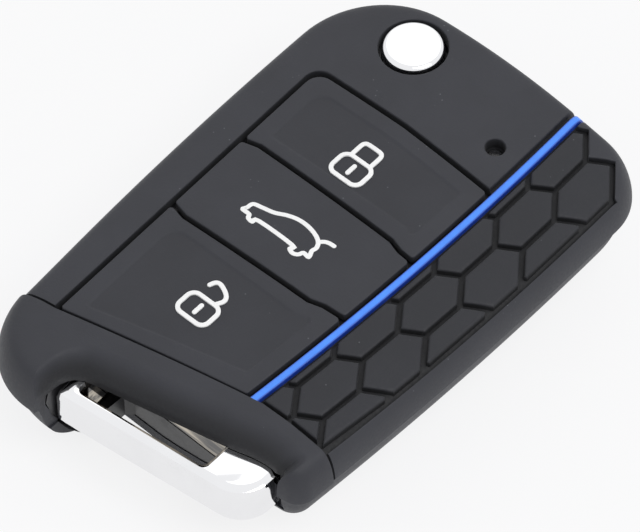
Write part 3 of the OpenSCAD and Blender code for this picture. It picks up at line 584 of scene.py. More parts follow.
class Graph:
    """The nodes of one material or world."""

    # A Mix node's sockets for colours: the share, both colours and the result
    SHARE, FIRST, SECOND, RESULT = 0, 6, 7, 2

    def __init__(self, tree: bpy.types.NodeTree) -> None:
        """Starts an empty tree."""
        self.tree = tree
        tree.nodes.clear()

    def add(
        self, kind: str, settings: dict[str, object], inputs: Sockets, output: Key = 0
    ) -> Value:
        """Adds a node.

        Args:
            kind: The node's type.
            settings: Its own settings, which are set first.
            inputs: What its sockets get.
            output: The output that is taken.

        Returns:
            The output.
        """
        node = self.tree.nodes.new(kind)
        for key, value in settings.items():
            setattr(node, key, value)
        for key, value in inputs.items():
            if isinstance(value, Value):
                self.tree.links.new(value.socket, node.inputs[key])
            else:
                node.inputs[key].default_value = value
        return Value(self, node.outputs[output] if node.outputs else node.inputs[0])

    def place(self) -> Value:
        """Gives the place on the piece, in metres."""
        return self.add("ShaderNodeTexCoord", {}, {}, "Object")

    def stretched(self, scale: Sequence[float]) -> Value:
        """Gives the place with each axis scaled."""
        return self.add("ShaderNodeMapping", {}, {"Vector": self.place(), "Scale": scale})

    def noise(self, scale: float, detail: float = 3.0, place: Value | None = None) -> Value:
        """Adds noise.

        Args:
            scale: How many of its features there are in a metre.
            detail: How many finer layers it has.
            place: Where it is read, or the place on the piece.

        Returns:
            The noise, from 0 to 1.
        """
        return self.add(
            "ShaderNodeTexNoise", {},
            {"Vector": place or self.place(), "Scale": scale, "Detail": detail, "Roughness": 0.6},
        )

    def cells(self, scale: float) -> Value:
        """Adds the distance to scattered points."""
        return self.add("ShaderNodeTexVoronoi", {}, {"Vector": self.place(), "Scale": scale})

    def mixed(
        self, share: Input, first: Union[Value, Colour], second: Union[Value, Colour]
    ) -> Value:
        """Mixes two colours.

        Args:
            share: The second colour's share.
            first: The first colour.
            second: The second colour.

        Returns:
            The mixed colour.
        """
        a, b = (c if isinstance(c, Value) else (*c, 1) for c in (first, second))
        inputs = {self.SHARE: share, self.FIRST: a, self.SECOND: b}
        return self.add("ShaderNodeMix", {"data_type": "RGBA"}, inputs, self.RESULT)

    def attribute(self, name: str) -> Value:
        """Reads what each point of the mesh holds under a name."""
        return self.add("ShaderNodeAttribute", {"attribute_name": name}, {}, "Fac")

    def seen(self) -> Value:
        """Tells the rays of the camera, a mirror or a glass from those that light the object.

        Returns:
            One for such a ray, and else nought.
        """
        kinds = ("Camera", "Glossy", "Transmission")
        rays = [self.add("ShaderNodeLightPath", {}, {}, f"Is {kind} Ray") for kind in kinds]
        return rays[0] + rays[1] + rays[2]

    def bump(self, height: Value, depth: float, strength: float = 1.0) -> Value:
        """Turns a height into a normal; the depth is in metres."""
        inputs = {"Height": height, "Distance": depth, "Strength": strength}
        return self.add("ShaderNodeBump", {}, inputs)


@dataclass(frozen=True)
class Finish:
    """A finish of the object.

    Attributes:
        name: Name of the material.
        colour: Main colour, linear.
        rough: Mean roughness.
    """

    name: str
    colour: Colour
    rough: float = 0.5

    def material(self) -> bpy.types.Material:
        """Builds the material once, and gives it again after that.

        Returns:
            The material.
        """
        known = bpy.data.materials.get(self.name)
        if known:
            return known
        made = bpy.data.materials.new(self.name)
        made.use_nodes = True
        graph = Graph(made.node_tree)
        shader = graph.add("ShaderNodeBsdfPrincipled", {}, self.sockets(graph))
        graph.add("ShaderNodeOutputMaterial", {}, {"Surface": shader})
        return made

    def sockets(self, g: Graph) -> Sockets:
        """Gives what the shader's sockets get.

        Args:
            g: The material's nodes.

        Returns:
            The sockets by name.
        """
        raise NotImplementedError

    def tinted(self, share: float) -> Colour:
        """Gives the colour made lighter or darker by a factor."""
        return tuple(min(1.0, c * share) for c in self.colour)


@dataclass(frozen=True)
class SoftRubber(Finish):
    """Matt moulded silicone or rubber with a fine spark grain, a few specks of dust, and painted
    shade where a piece lies under the skin.

    Attributes:
        grain: Scale of the grain.
        depth: Its depth, in metres.
        dust: How much the specks of dust show.
        speck: Colour of the dust.
    """

    grain: float = 2600.0
    depth: float = 0.00003
    dust: float = 0.35
    speck: Colour = (0.22, 0.23, 0.25)

    def sockets(self, g: Graph) -> Sockets:
        """Gives grain, cloudy colour, dust and painted shade.

        Args:
            g: The material's nodes.

        Returns:
            The sockets by name.
        """
        fine, cloud = g.noise(self.grain, 2.0), g.noise(90.0, 4.0)
        dots = g.cells(900.0).between(0.06, 0.11, 1.0, 0.0)
        speck = dots * g.noise(240.0, 1.0).between(0.58, 0.66)
        body = g.mixed(cloud.between(0.3, 0.7), self.tinted(0.9), self.tinted(1.1))
        grained = g.mixed(fine.between(0.35, 0.7) * 0.3, body, self.tinted(1.45))
        dusty = g.mixed(speck * self.dust, grained, self.speck)
        return {
            # Painted shade: points under the skin, in grooves and the scoop, are darkened
            "Base Color": g.mixed(g.attribute("recess") * 0.9, dusty, self.tinted(0.16)),
            "Roughness": fine.between(0.3, 0.7, self.rough - 0.05, self.rough + 0.07),
            "Specular IOR Level": 0.36,
            "Sheen Weight": 0.06,
            "Sheen Roughness": 0.45,
            "Normal": g.bump(fine + cloud * 0.4, self.depth, 0.8),
        }


@dataclass(frozen=True)
class MouldedPlastic(Finish):
    """Moulded plastic with a low sheen, fine erosion texture and light rubbing marks.

    Attributes:
        grain: Scale of the texture.
    """

    grain: float = 1800.0

    def sockets(self, g: Graph) -> Sockets:
        """Gives texture and rubbing marks.

        Args:
            g: The material's nodes.

        Returns:
            The sockets by name.
        """
        fine = g.noise(self.grain, 3.0)
        rub = g.noise(160.0, 5.0, g.stretched((1, 3.5, 1))).between(0.52, 0.7)
        return {
            "Base Color": g.mixed(rub * 0.35, self.colour, self.tinted(2.2)),
            "Roughness": rub * 0.14 + fine * 0.1 + (self.rough - 0.08),
            "Specular IOR Level": 0.5,
            "Normal": g.bump(fine, 0.00002, 0.5),
        }


@dataclass(frozen=True)
class Plated(Finish):
    """Polished chrome plate with faint handling marks, hairline scratches and a painted reflection
    on the walls of the loop's slot.

    Attributes:
        dark: Painted reflection of the black cover on the walls of the loop's slot.
        warm: Painted reflection of the room, in streaks with the cover's.
    """

    dark: Colour = (0.03, 0.028, 0.026)
    warm: Colour = (0.5, 0.44, 0.35)

    def sockets(self, g: Graph) -> Sockets:
        """Gives smudges, scratches and the painted reflection.

        Args:
            g: The material's nodes.

        Returns:
            The sockets by name.
        """
        smudge = g.noise(70.0, 4.0).between(0.45, 0.72)
        hair = g.noise(900.0, 1.0, g.stretched((0.12, 1, 1))).between(0.66, 0.72)
        streak = g.noise(260.0, 3.0, g.stretched((0.25, 1, 2.2))).between(0.42, 0.62)
        plate = g.mixed(smudge * 0.25, self.colour, self.tinted(0.9))
        painted_reflection = g.mixed(streak, self.dark, self.warm)
        return {
            # Painted reflection: dark and warm streaks on the slot's walls, where the loop holds
            # its mark
            "Base Color": g.mixed(g.attribute("hollow") * 0.92, plate, painted_reflection),
            "Metallic": 1.0,
            "Roughness": smudge * 0.07 + hair * 0.12 + self.rough,
            "Normal": g.bump(g.noise(45.0, 2.0), 0.00006, 0.35),
        }


@dataclass(frozen=True)
class WorkedSteel(Finish):
    """Ground or drawn steel with lines along one axis and light tarnish.

    Attributes:
        lines: How the noise of the lines is scaled along each axis.
    """

    lines: tuple[float, float, float] = (1.0, 0.04, 1.0)

    def sockets(self, g: Graph) -> Sockets:
        """Gives grinding lines and tarnish.

        Args:
            g: The material's nodes.

        Returns:
            The sockets by name.
        """
        line = g.noise(2400.0, 2.0, g.stretched(self.lines))
        stain = g.noise(140.0, 4.0).between(0.5, 0.75)
        return {
            "Base Color": g.mixed(stain * 0.5, self.colour, self.tinted(0.72)),
            "Metallic": 1.0,
            "Roughness": line * 0.16 + stain * 0.1 + (self.rough - 0.08),
            "Normal": g.bump(line, 0.000012, 0.6),
        }


@dataclass(frozen=True)
class Inlay(Finish):
    """Matt white inlaid silicone, a little greyed where fingers press."""

    def sockets(self, g: Graph) -> Sockets:
        """Gives grain and greying.

        Args:
            g: The material's nodes.

        Returns:
            The sockets by name.
        """
        fine, worn = g.noise(2600.0, 2.0), g.noise(420.0, 4.0).between(0.5, 0.75)
        return {
            "Base Color": g.mixed(worn * 0.5, self.colour, self.tinted(0.82)),
            "Roughness": fine * 0.12 + self.rough,
            "Normal": g.bump(fine, 0.00002, 0.5),
        }


@dataclass(frozen=True)
class Strip(Finish):
    """Translucent coloured silicone, lighter along its middle and darker at its edges, with a
    painted glow.

    Attributes:
        edge: Colour at the edges.
        deep: What the edges glow with.
        half: Half of the strip's width, in metres.
        shift: How far its middle lies beside the channel's.
        bow: Of the middle line: the cover's half width, place, bend and crest.
        reach: The cover's half length.
    """

    edge: Colour = (0.01, 0.045, 0.36)
    # deep: Colour of the painted glow at the edges.
    deep: Colour = (0.0, 0.01, 0.08)
    half: float = 0.00054
    shift: float = -0.00016
    bow: tuple[float, float, float, float] = (0.024, 0.496, 0.0676, 0.465)
    reach: float = 0.0387

    def sockets(self, g: Graph) -> Sockets:
        """Gives the colour and the painted glow across the strip's bowed middle line.

        Args:
            g: The material's nodes.

        Returns:
            The sockets by name.
        """
        split = g.place()
        x = g.add("ShaderNodeSeparateXYZ", {}, {0: split}, "X")
        y = g.add("ShaderNodeSeparateXYZ", {}, {0: split}, "Y")
        width, share, bend, crest = self.bow
        middle = width * (share - bend * (y / self.reach - crest) ** 2) + self.shift
        across = abs(x - middle) / self.half
        cloud = g.noise(500.0, 3.0)
        body = g.mixed(cloud.between(0.3, 0.7), self.colour, self.tinted(1.15))
        return {
            "Base Color": g.mixed(across.between(0.45, 0.98), body, self.edge),
            "Roughness": cloud * 0.1 + self.rough,
            "Coat Weight": 0.15,
            # Painted glow: the strip gives off light, brighter along its middle, though it is no
            # lamp
            "Emission Color": g.mixed(across.between(0.2, 0.9), self.tinted(0.6), self.deep),
            "Emission Strength": 0.12,
            "Normal": g.bump(g.noise(2600.0, 2.0), 0.00002, 0.5),
        }


@dataclass(frozen=True)
class Lacquer(Finish):
    """Lacquered circuit board with tracks under the mask."""

    def sockets(self, g: Graph) -> Sockets:
        """Gives tracks and mask.

        Args:
            g: The material's nodes.

        Returns:
            The sockets by name.
        """
        track = g.add(
            "ShaderNodeTexBrick",
            {"offset": 0.37, "squash": 1.6, "squash_frequency": 3},
            {"Vector": g.stretched((1, 1, 0)), "Scale": 420.0, "Mortar Size": 0.03,
             "Mortar Smooth": 0.2},
            "Fac",
        )
        cloud = g.noise(300.0, 3.0)
        body = g.mixed(cloud.between(0.3, 0.7), self.tinted(0.85), self.tinted(1.15))
        return {
            "Base Color": g.mixed(track * 0.6, body, self.tinted(2.3)),
            "Roughness": cloud * 0.15 + self.rough,
            "Coat Weight": 0.4,
            "Normal": g.bump(track, 0.00004, 0.6),
        }


@dataclass(frozen=True)
class Winding(Finish):
    """Lacquered copper wire wound side by side."""

    def sockets(self, g: Graph) -> Sockets:
        """Gives the turns of the wire.

        Args:
            g: The material's nodes.

        Returns:
            The sockets by name.
        """
        turns = g.add(
            "ShaderNodeTexWave", {"bands_direction": "Y"},
            {"Vector": g.place(), "Scale": 1500.0}, "Fac",
        )
        return {
            "Base Color": g.mixed(turns, self.tinted(0.5), self.colour),
            "Metallic": 0.9,
            "Roughness": g.noise(900.0).between(0.3, 0.7, self.rough - 0.08, self.rough + 0.12),
            "Normal": g.bump(turns, 0.00008),
        }


@dataclass(frozen=True)
class ClearPlastic(Finish):
    """Clear moulded plastic with faint flow marks."""

    def sockets(self, g: Graph) -> Sockets:
        """Gives flow marks in a clear body.

        Args:
            g: The material's nodes.

        Returns:
            The sockets by name.
        """
        flow_mark = g.noise(500.0, 3.0, g.stretched((1, 1, 0.3)))
        return {
            "Base Color": g.mixed(flow_mark.between(0.4, 0.7), self.colour, self.tinted(0.9)),
            "Roughness": flow_mark * 0.08 + self.rough,
            "Transmission Weight": 0.85,
            "IOR": 1.49,
            "Normal": g.bump(flow_mark, 0.00003, 0.4),
        }


@dataclass(frozen=True)
class Paper(Finish):
    """Pale studio floor that shows near white and keeps the object's shadow.

    Attributes:
        glow: Share of plain white in what is seen of it.
    """

    glow: float = 0.86

    def material(self) -> bpy.types.Material:
        """Mixes the lit floor with plain white as the camera sees it.

        Returns:
            The material.
        """
        made = bpy.data.materials.new(self.name)
        made.use_nodes = True
        g = Graph(made.node_tree)
        grain = g.noise(60.0, 4.0)
        lit = g.add(
            "ShaderNodeBsdfPrincipled", {},
            {"Base Color": g.mixed(grain, self.colour, self.tinted(0.985)), "Roughness": self.rough,
             "Specular IOR Level": 0.2, "Normal": g.bump(grain, 0.0001, 0.1)},
        )
        white = g.add("ShaderNodeEmission", {}, {"Color": (0.965, 0.965, 0.97, 1), "Strength": 1.0})
        surface = g.add("ShaderNodeMixShader", {}, {0: g.seen() * self.glow, 1: lit, 2: white})
        g.add("ShaderNodeOutputMaterial", {}, {"Surface": surface})
        return made


class Looks:
    """The finishes of this object: one a material slot of the record, and a darker copy of the
    silicone for the cells, as painted shade.
    """

    silicone = SoftRubber("silicone_look", (0.0288, 0.0298, 0.0364), 0.6)
    # The cells' silicone, darkened as painted shade of the grooves round them
    cells = SoftRubber("cells_shaded_look", (0.018, 0.0187, 0.023), 0.6)
    strip = Strip("strip_look", (0.055, 0.235, 0.85), 0.4)
    symbol = Inlay("symbol_look", (0.93, 0.93, 0.93), 0.5)
    black_plastic = MouldedPlastic("black_plastic_look", (0.014, 0.014, 0.016), 0.38)
    polished_chrome = Plated("chrome_look", (0.86, 0.86, 0.87), 0.05)
    steel = WorkedSteel("steel_look", (0.56, 0.56, 0.58), 0.34)
    spring_steel = WorkedSteel("spring_look", (0.4, 0.4, 0.42), 0.36, (1.0, 1.0, 0.2))
    # Clear plastic tinted dark: painted shade that keeps the light's hole dark
    clear = ClearPlastic("clear_shaded_look", (0.1, 0.1, 0.11), 0.12)
    board = Lacquer("board_look", (0.02, 0.13, 0.05), 0.3)
    dark_part = MouldedPlastic("dark_part_look", (0.022, 0.022, 0.024), 0.48)
    seal_grey = SoftRubber("seal_look", (0.1, 0.1, 0.105), 0.6)
    copper = Winding("copper_look", (0.62, 0.27, 0.1), 0.32)
    contact = WorkedSteel("contact_look", (0.72, 0.52, 0.24), 0.28)
    cell_steel = WorkedSteel("cell_look", (0.62, 0.62, 0.63), 0.25)
    red_light = ClearPlastic("red_light_look", (0.75, 0.03, 0.02), 0.12)


# ----- the object's own form -----


@dataclass(frozen=True)
class CoverForm:
    """Outer form of the cover: its outline, its rounded rear half and its crowned face.

    Attributes:
        half_w: Half of the width, which the shares across are of.
        half_l: Half of the length, which the shares along are of.
        height: Height of the middle of the face.
        parting: Height of the step between both halves.
        rise: How far the face's crown rises over its sides.
        step: How far the rear half lies inside the front one.
        corners: The outline's corners and their radii, as shares.
        rear: The rear half's profile, as insets and shares of its height.
        front: The front half's profile, likewise.
        end: Where the front half's profile points to past its last row.
        brow: The line before the mouth past which the painted shade of the scoop is soft.
        spans: Parts of each span of a profile.
        crowns: Parts of the face from its edge to its middle, if seen and if not.
        hidden: Turn and pitch of the outline of a body that isn't seen.
    """

    half_w: float = 24.0
    half_l: float = 38.7
    height: float = 17.0
    parting: float = 11.2
    rise: float = 1.1
    step: float = 0.35
    corners: tuple[tuple[float, float, float], ...] = (
        (0.919, -0.705, 0.11), (1.018, 0.1, 22), (0.993, 0.955, 0.341), (0, 1.004, 7.5),
        (-1.029, 0.976, 0.558), (-1.041, 0.05, 22), (-0.915, -1.005, 0.43),
        (-0.433, -0.99, 0.05), (0.69, -0.72, 0),
    )
    rear: Pairs = (
        (0.35, 0), (0.285, 0.045), (0.205, 0.135), (0.136, 0.27),
        (0.078, 0.45), (0.04, 0.65), (0.02, 0.84), (0, 1),
    )
    front: Pairs = (
        (0, 0), (0.002, 0.18), (0.009, 0.4), (0.021, 0.62),
        (0.038, 0.8), (0.058, 0.92), (0.088, 0.985), (0.14, 1),
    )
    end: tuple[float, float] = (0.2, 1.0)
    brow: Pairs = (
        (-1.1, -0.79), (-0.71, -0.75), (0.335, -0.6), (0.475, -0.58), (1.1, -0.58),
    )
    spans: int = 4
    crowns: tuple[int, int] = (10, 4)
    hidden: tuple[float, float] = (20.0, 5.0)

    def at(self, share: Sequence[float]) -> np.ndarray:
        """Turns shares of the half width and length into a place."""
        return np.array([share[0] * self.half_w, share[1] * self.half_l])

    def places(self, shares: Points) -> np.ndarray:
        """Turns a list of shares into places."""
        return np.array([self.at(s) for s in shares])

    def face(self, x: np.ndarray | float) -> np.ndarray | float:
        """Gives the height of the crowned face at x."""
        r = (self.half_w**2 + self.rise**2) / (2 * self.rise)
        return self.height - r + np.sqrt(r * r - np.square(x))

    def cornered(self, shares: Points) -> list[tuple[float, float, float]]:
        """Turns shares into corners, with their radii as shares of the half width."""
        return [(x * self.half_w, y * self.half_l, r * self.half_w) for x, y, r in shares]

    def outline(self, turn: float = 4.0, pitch: float = 1.3) -> np.ndarray:
        """Gives the outline at the parting line, with points this close."""
        return spaced(rounded(self.cornered(self.corners), turn, pitch), pitch)

    def drawn_in(self, line: np.ndarray, inset: float) -> np.ndarray:
        """Draws an outline in by an inset."""
        return line * [1 - inset / self.half_w, 1 - inset / self.half_l]

    def front_line(self) -> np.ndarray:
        """Gives the front half's profile, close together.

        Returns:
            A row for each point: its inset, and its share of the height.
        """
        line = flow(self.front, self.spans, after=self.end)
        inset = np.maximum.accumulate(line[:, 0]) * self.half_w
        return np.stack([inset, np.minimum(line[:, 1], 1)], axis=1)

    def solid(self, inset: float = 0.0, drop: float = 0.0, fine: bool = True) -> Solid:
        """Builds the body, or one that lies inside it.

        Args:
            inset: How far the sides lie inside the skin.
            drop: How far the face and the back lie inside it.
            fine: Whether it is seen from outside.

        Returns:
            The closed body.
        """
        line = self.outline() if fine else self.outline(*self.hidden)
        ledge = self.step if inset == 0 else 0.0
        rings = []
        for share, high in flow(self.rear, self.spans if fine else 1)[:-1]:
            z = drop + high * (self.parting - drop)
            if z < self.parting - self.step:
                ring = self.drawn_in(line, max(0.0, share) * self.half_w + inset + ledge)
                rings.append(np.insert(ring, 2, z, axis=1))
        last = self.drawn_in(line, inset + ledge)
        rings.append(np.insert(last, 2, self.parting - self.step / 2, axis=1))
        front = self.front_line() if fine else self.front_line()[::self.spans]
        for depth, share in front:
            ring = self.drawn_in(line, depth + inset)
            z = self.parting + share * (self.face(ring[:, 0]) - drop - self.parting)
            rings.append(np.column_stack([ring, z]))
        top = self.drawn_in(line, front[-1][0] + inset)
        for share in np.linspace(1, 0, self.crowns[0 if fine else 1])[1:-1]:
            rings.append(np.column_stack([top * share, self.face(top[:, 0] * share) - drop]))
        return Solid.loft(rings, float(self.face(0.0)) - drop)

    def inset_at(self, xy: np.ndarray) -> np.ndarray:
        """Gives how far points lie inside the outline, up to the profile's depth.

        Args:
            xy: The points of the plan.

        Returns:
            The inset of each, found by halving.
        """
        halvings = 22
        line = self.outline()
        angle = np.arctan2(line[:, 1], line[:, 0])
        order = np.argsort(angle)
        angle, reach = angle[order], np.linalg.norm(line, axis=1)[order]
        low, high = np.zeros(len(xy)), np.full(len(xy), self.front[-1][0] * self.half_w)
        for _ in range(halvings):
            mid = (low + high) / 2
            x, y = xy[:, 0] / (1 - mid / self.half_w), xy[:, 1] / (1 - mid / self.half_l)
            out = np.hypot(x, y) > np.interp(np.arctan2(y, x), angle, reach, period=2 * math.pi)
            high = np.where(out, mid, high)
            low = np.where(out, low, mid)
        return low

    def skin(self, xy: np.ndarray) -> np.ndarray:
        """Gives the height of the front skin.

        Args:
            xy: Points of the plan.

        Returns:
            The height over each.
        """
        line = self.front_line()
        share = np.interp(self.inset_at(xy), line[:, 0], line[:, 1])
        face = self.face(np.clip(xy[:, 0], -self.half_w, self.half_w))
        return self.parting + share * (face - self.parting)

    def recess(self, places: np.ndarray) -> np.ndarray:
        """Tells how deep places lie in the grooves of the front half, for the painted shade there.

        Args:
            places: The places.

        Returns:
            From 0 on the skin to 1 in a groove, or less in the scoop before the mouth: the share of
            painted shade.
        """
        rim, over, scoop_depth, scoop_most, start, groove_depth = 0.3, 0.5, 2.1, 0.8, 0.1, 0.3
        xy, z = places[:, :2], places[:, 2]
        depth = self.skin(xy) - z
        front = (self.inset_at(xy) > rim) & (z > self.parting + over)
        brow = self.places(self.brow)
        scoop = xy[:, 1] < np.interp(xy[:, 0], brow[:, 0], brow[:, 1])
        # The scoop gets a softer painted shade, which stops short of full
        soft = np.clip(depth / scoop_depth, 0, scoop_most)
        return np.where(scoop, soft, np.clip((depth - start) / groove_depth, 0, 1)) * front

    def relief(self, plan: np.ndarray, profile: Points, pitch: float) -> Solid:
        """Builds a raised or sunken form that follows the front skin.

        Args:
            plan: Its plan, anticlockwise.
            profile: From below upwards, how far the side stands outside the plan and
                its height over the skin.
            pitch: Size of the faces that follow the skin.

        Returns:
            The closed form.
        """
        rings = [np.insert(moved(plan, -out), 2, z, axis=1) for out, z in profile]
        xs, ys = (np.arange(a + pitch / 2, b, pitch) for a, b in zip(plan.min(0), plan.max(0)))
        made = Solid.loft(rings).diced(xs, ys)
        verts = made.bm.verts[:]
        height = self.skin(np.array([[v.co.x, v.co.y] for v in verts]))
        for vert, z in zip(verts, height):
            vert.co.z += z
        return made


# Sides of raised and sunken forms, as offsets from the plan and heights over the skin
CELL_EDGE = ((0.0, -1.1), (0.0, -0.34), (-0.05, -0.17), (-0.15, -0.055), (-0.32, 0.0))
PAD_EDGE = ((0.0, -1.2), (0.0, -0.2), (-0.03, -0.09), (-0.1, -0.025), (-0.22, 0.0))
DISH_EDGE = ((-0.2, -0.15), (0.0, -0.12), (0.2, -0.03), (0.4, 0.02), (0.5, 0.8))
INLAY_EDGE = ((0.0, -0.25), (0.0, 0.0), (-0.04, 0.045), (-0.12, 0.06))
WINDOW_EDGE = ((0.0, -0.5), (0.0, 0.0), (0.08, 0.3))


def flare(depth: float) -> Points:
    """Gives the profile of a cutter that leaves a rounded edge."""
    return [(0.0, -depth), (0.0, -0.24), (0.04, -0.1), (0.12, -0.02), (0.3, 0.05), (0.6, 0.8)]


@dataclass(frozen=True)
class StripLine:
    """The bowed line of the coloured strip, and bodies that follow it over the top edge.

    Attributes:
        form: The cover's form.
        share: Where the line lies furthest right, as a share across.
        bow: How far it bends.
        crest: Where it lies furthest right, as a share along.
        width: Width of the strip's channel.
        thick: The strip's thickness.
        gap: How much narrower than its channel it is.
        low: Its lower end, as a share along.
        parts: Stations below and above the middle of the face.
        edge: Least shares along and across that hold the top edge.
        least: Least height share of a station on the front half's side.
    """

    form: CoverForm = field(default_factory=CoverForm)
    share: float = 0.496
    bow: float = 0.0676
    crest: float = 0.465
    width: float = 1.4
    thick: float = 0.8
    gap: float = 0.33
    low: float = -0.572
    parts: tuple[int, int] = (22, 20)
    edge: tuple[float, float] = (0.8, 0.9)
    least: float = 0.015

    def x(self, y: np.ndarray | float) -> np.ndarray | float:
        """Gives the middle line at y."""
        return self.form.half_w * (self.share - self.bow * (y / self.form.half_l - self.crest) ** 2)

    def beside(self, offset: float, low: float, high: float, steps: int = 24) -> np.ndarray:
        """Gives points beside the middle line, from low to high."""
        ys = np.linspace(low, high, steps + 1)
        return np.column_stack([self.x(ys) + offset, ys])

    def band(self, section: Points) -> Solid:
        """Builds a body along the strip and over the top edge.

        Args:
            section: Its cross-section as offsets and heights over the skin.

        Returns:
            The closed body.
        """
        form = self.form
        line = form.outline()
        along, across = self.edge
        top = line[(line[:, 1] > along * form.half_l) & (abs(line[:, 0]) < across * form.half_w)]
        top = top[np.argsort(top[:, 0])]
        profile = form.front_line()
        flat_end = profile[-1][0]
        lower, upper = self.parts
        stations = [(y, None) for y in np.linspace(self.low * form.half_l, 0, lower)]
        reach = float(np.interp(self.x(form.half_l), top[:, 0], top[:, 1]))
        reach *= 1 - flat_end / form.half_l
        stations += [(y, None) for y in np.linspace(0, reach, upper)[1:-1]]
        stations += [(None, row) for row in profile[::-1] if row[1] > self.least]

        def surface(offset: float, station: tuple) -> np.ndarray:
            """Gives a point of the skin.

            Args:
                offset: How far it lies beside the line.
                station: Its y on the face, or else its row of the front half's profile.

            Returns:
                The point.
            """
            y, row = station
            if row is None:
                x = float(self.x(y)) + offset
                return np.array([x, y, float(form.face(x))])
            depth, share = row
            x = float(self.x(reach)) + offset
            y = float(np.interp(x / (1 - depth / form.half_w), top[:, 0], top[:, 1]))
            y *= 1 - depth / form.half_l
            x = float(self.x(y)) + offset
            return np.array([x, y, form.parting + share * (float(form.face(x)) - form.parting)])

        middle = np.array([surface(0.0, s) for s in stations])
        way = unit(np.gradient(middle[:, 1:], axis=0))
        rings = []
        for k, station in enumerate(stations):
            up = np.array([0.0, -way[k][1], way[k][0]])
            rings.append(np.array([surface(o, station) + up * h for o, h in section]))
        return Solid.loft(rings)


@dataclass(frozen=True)
class Panel:
    """The panel of three pads, between lines whose points are shares.

    Attributes:
        strip: The strip's line, at the panel's right.
        groove: Width of the groove along the strip.
        left: The panel's left side at the middle, as a share across.
        lean: How far that side leans.
        top: The line over the first pad; -1 and 1 stand for the panel's sides.
        first: The line under the first pad.
        second: The line under the second pad.
        low: The line under the third pad.
        corner: Radius of the panel's upper left corner.
        small: Radius of the others.
    """

    strip: StripLine = field(default_factory=StripLine)
    groove: float = 0.5
    left: float = -0.737
    lean: float = -0.0365
    top: Pairs = ((-1, 0.53), (-0.15, 0.5375), (1, 0.522))
    first: Pairs = (
        (-1, 0.155), (-0.631, 0.1705), (0.281, 0.168), (0.352, 0.155), (1, 0.1525),
    )
    second: Pairs = (
        (-1, -0.182), (-0.6146, -0.1977), (0.219, -0.1796), (0.302, -0.163), (1, -0.156),
    )
    low: Pairs = ((-1, -0.726), (1, -0.579))
    corner: float = 2.16
    small: float = 0.48

    def side(self, x: float, y: float) -> float:
        """Gives a place across the panel.

        Args:
            x: -1 for the left side, 1 for the right side, or else a share across.
            y: The height along the cover.

        Returns:
            The place.
        """
        form = self.strip.form
        if x == -1:
            return form.half_w * (self.left + self.lean * y / form.half_l)
        if x == 1:
            return float(self.strip.x(y)) - self.strip.width / 2 - self.groove / 2
        return x * form.half_w

    def part(self, low: Points, high: Points, gap: float, corner: float) -> np.ndarray:
        """Gives the part of the panel between two lines.

        Args:
            low: The lower line.
            high: The upper line.
            gap: How far all sides are drawn in.
            corner: Radius of the upper left corner.

        Returns:
            The part's outline, anticlockwise.
        """
        half_l = self.strip.form.half_l

        def stays(s: Sequence[float]) -> bool:
            """Tells an end of a line, or a point clear of both ends."""
            x, y, clear = s[0] * self.strip.form.half_w, s[1] * half_l, gap + self.small
            return abs(s[0]) == 1 or self.side(-1, y) + clear < x < self.side(1, y) - clear

        def line(shares: Points, rise: float) -> list[list[float]]:
            """Gives a line's points, with its ends drawn in.

            Args:
                shares: The line.
                rise: How far it is raised.

            Returns:
                The points.
            """
            made = []
            for x, y in (s for s in shares if stays(s)):
                high_y = y * half_l + rise
                inward = gap if x == -1 else -gap if x == 1 else 0.0
                made.append([self.side(x, high_y) + inward, high_y])
            return made

        lower, upper = line(low, gap), line(high, -gap)
        ends = (0, len(lower) - 1)
        corners = [[*p, self.small if i in ends else 0.0] for i, p in enumerate(lower)]
        for t in (0.2, 0.4, 0.6, 0.8):
            y = lower[-1][1] + t * (upper[-1][1] - lower[-1][1])
            corners.append([self.side(1, y) - gap, y, 0.0])
        for i in range(len(upper) - 1, -1, -1):
            radius = corner if i == 0 else self.small if i == len(upper) - 1 else 0.0
            corners.append([*upper[i], radius])
        return spaced(rounded(corners, 8.0), 3.0)


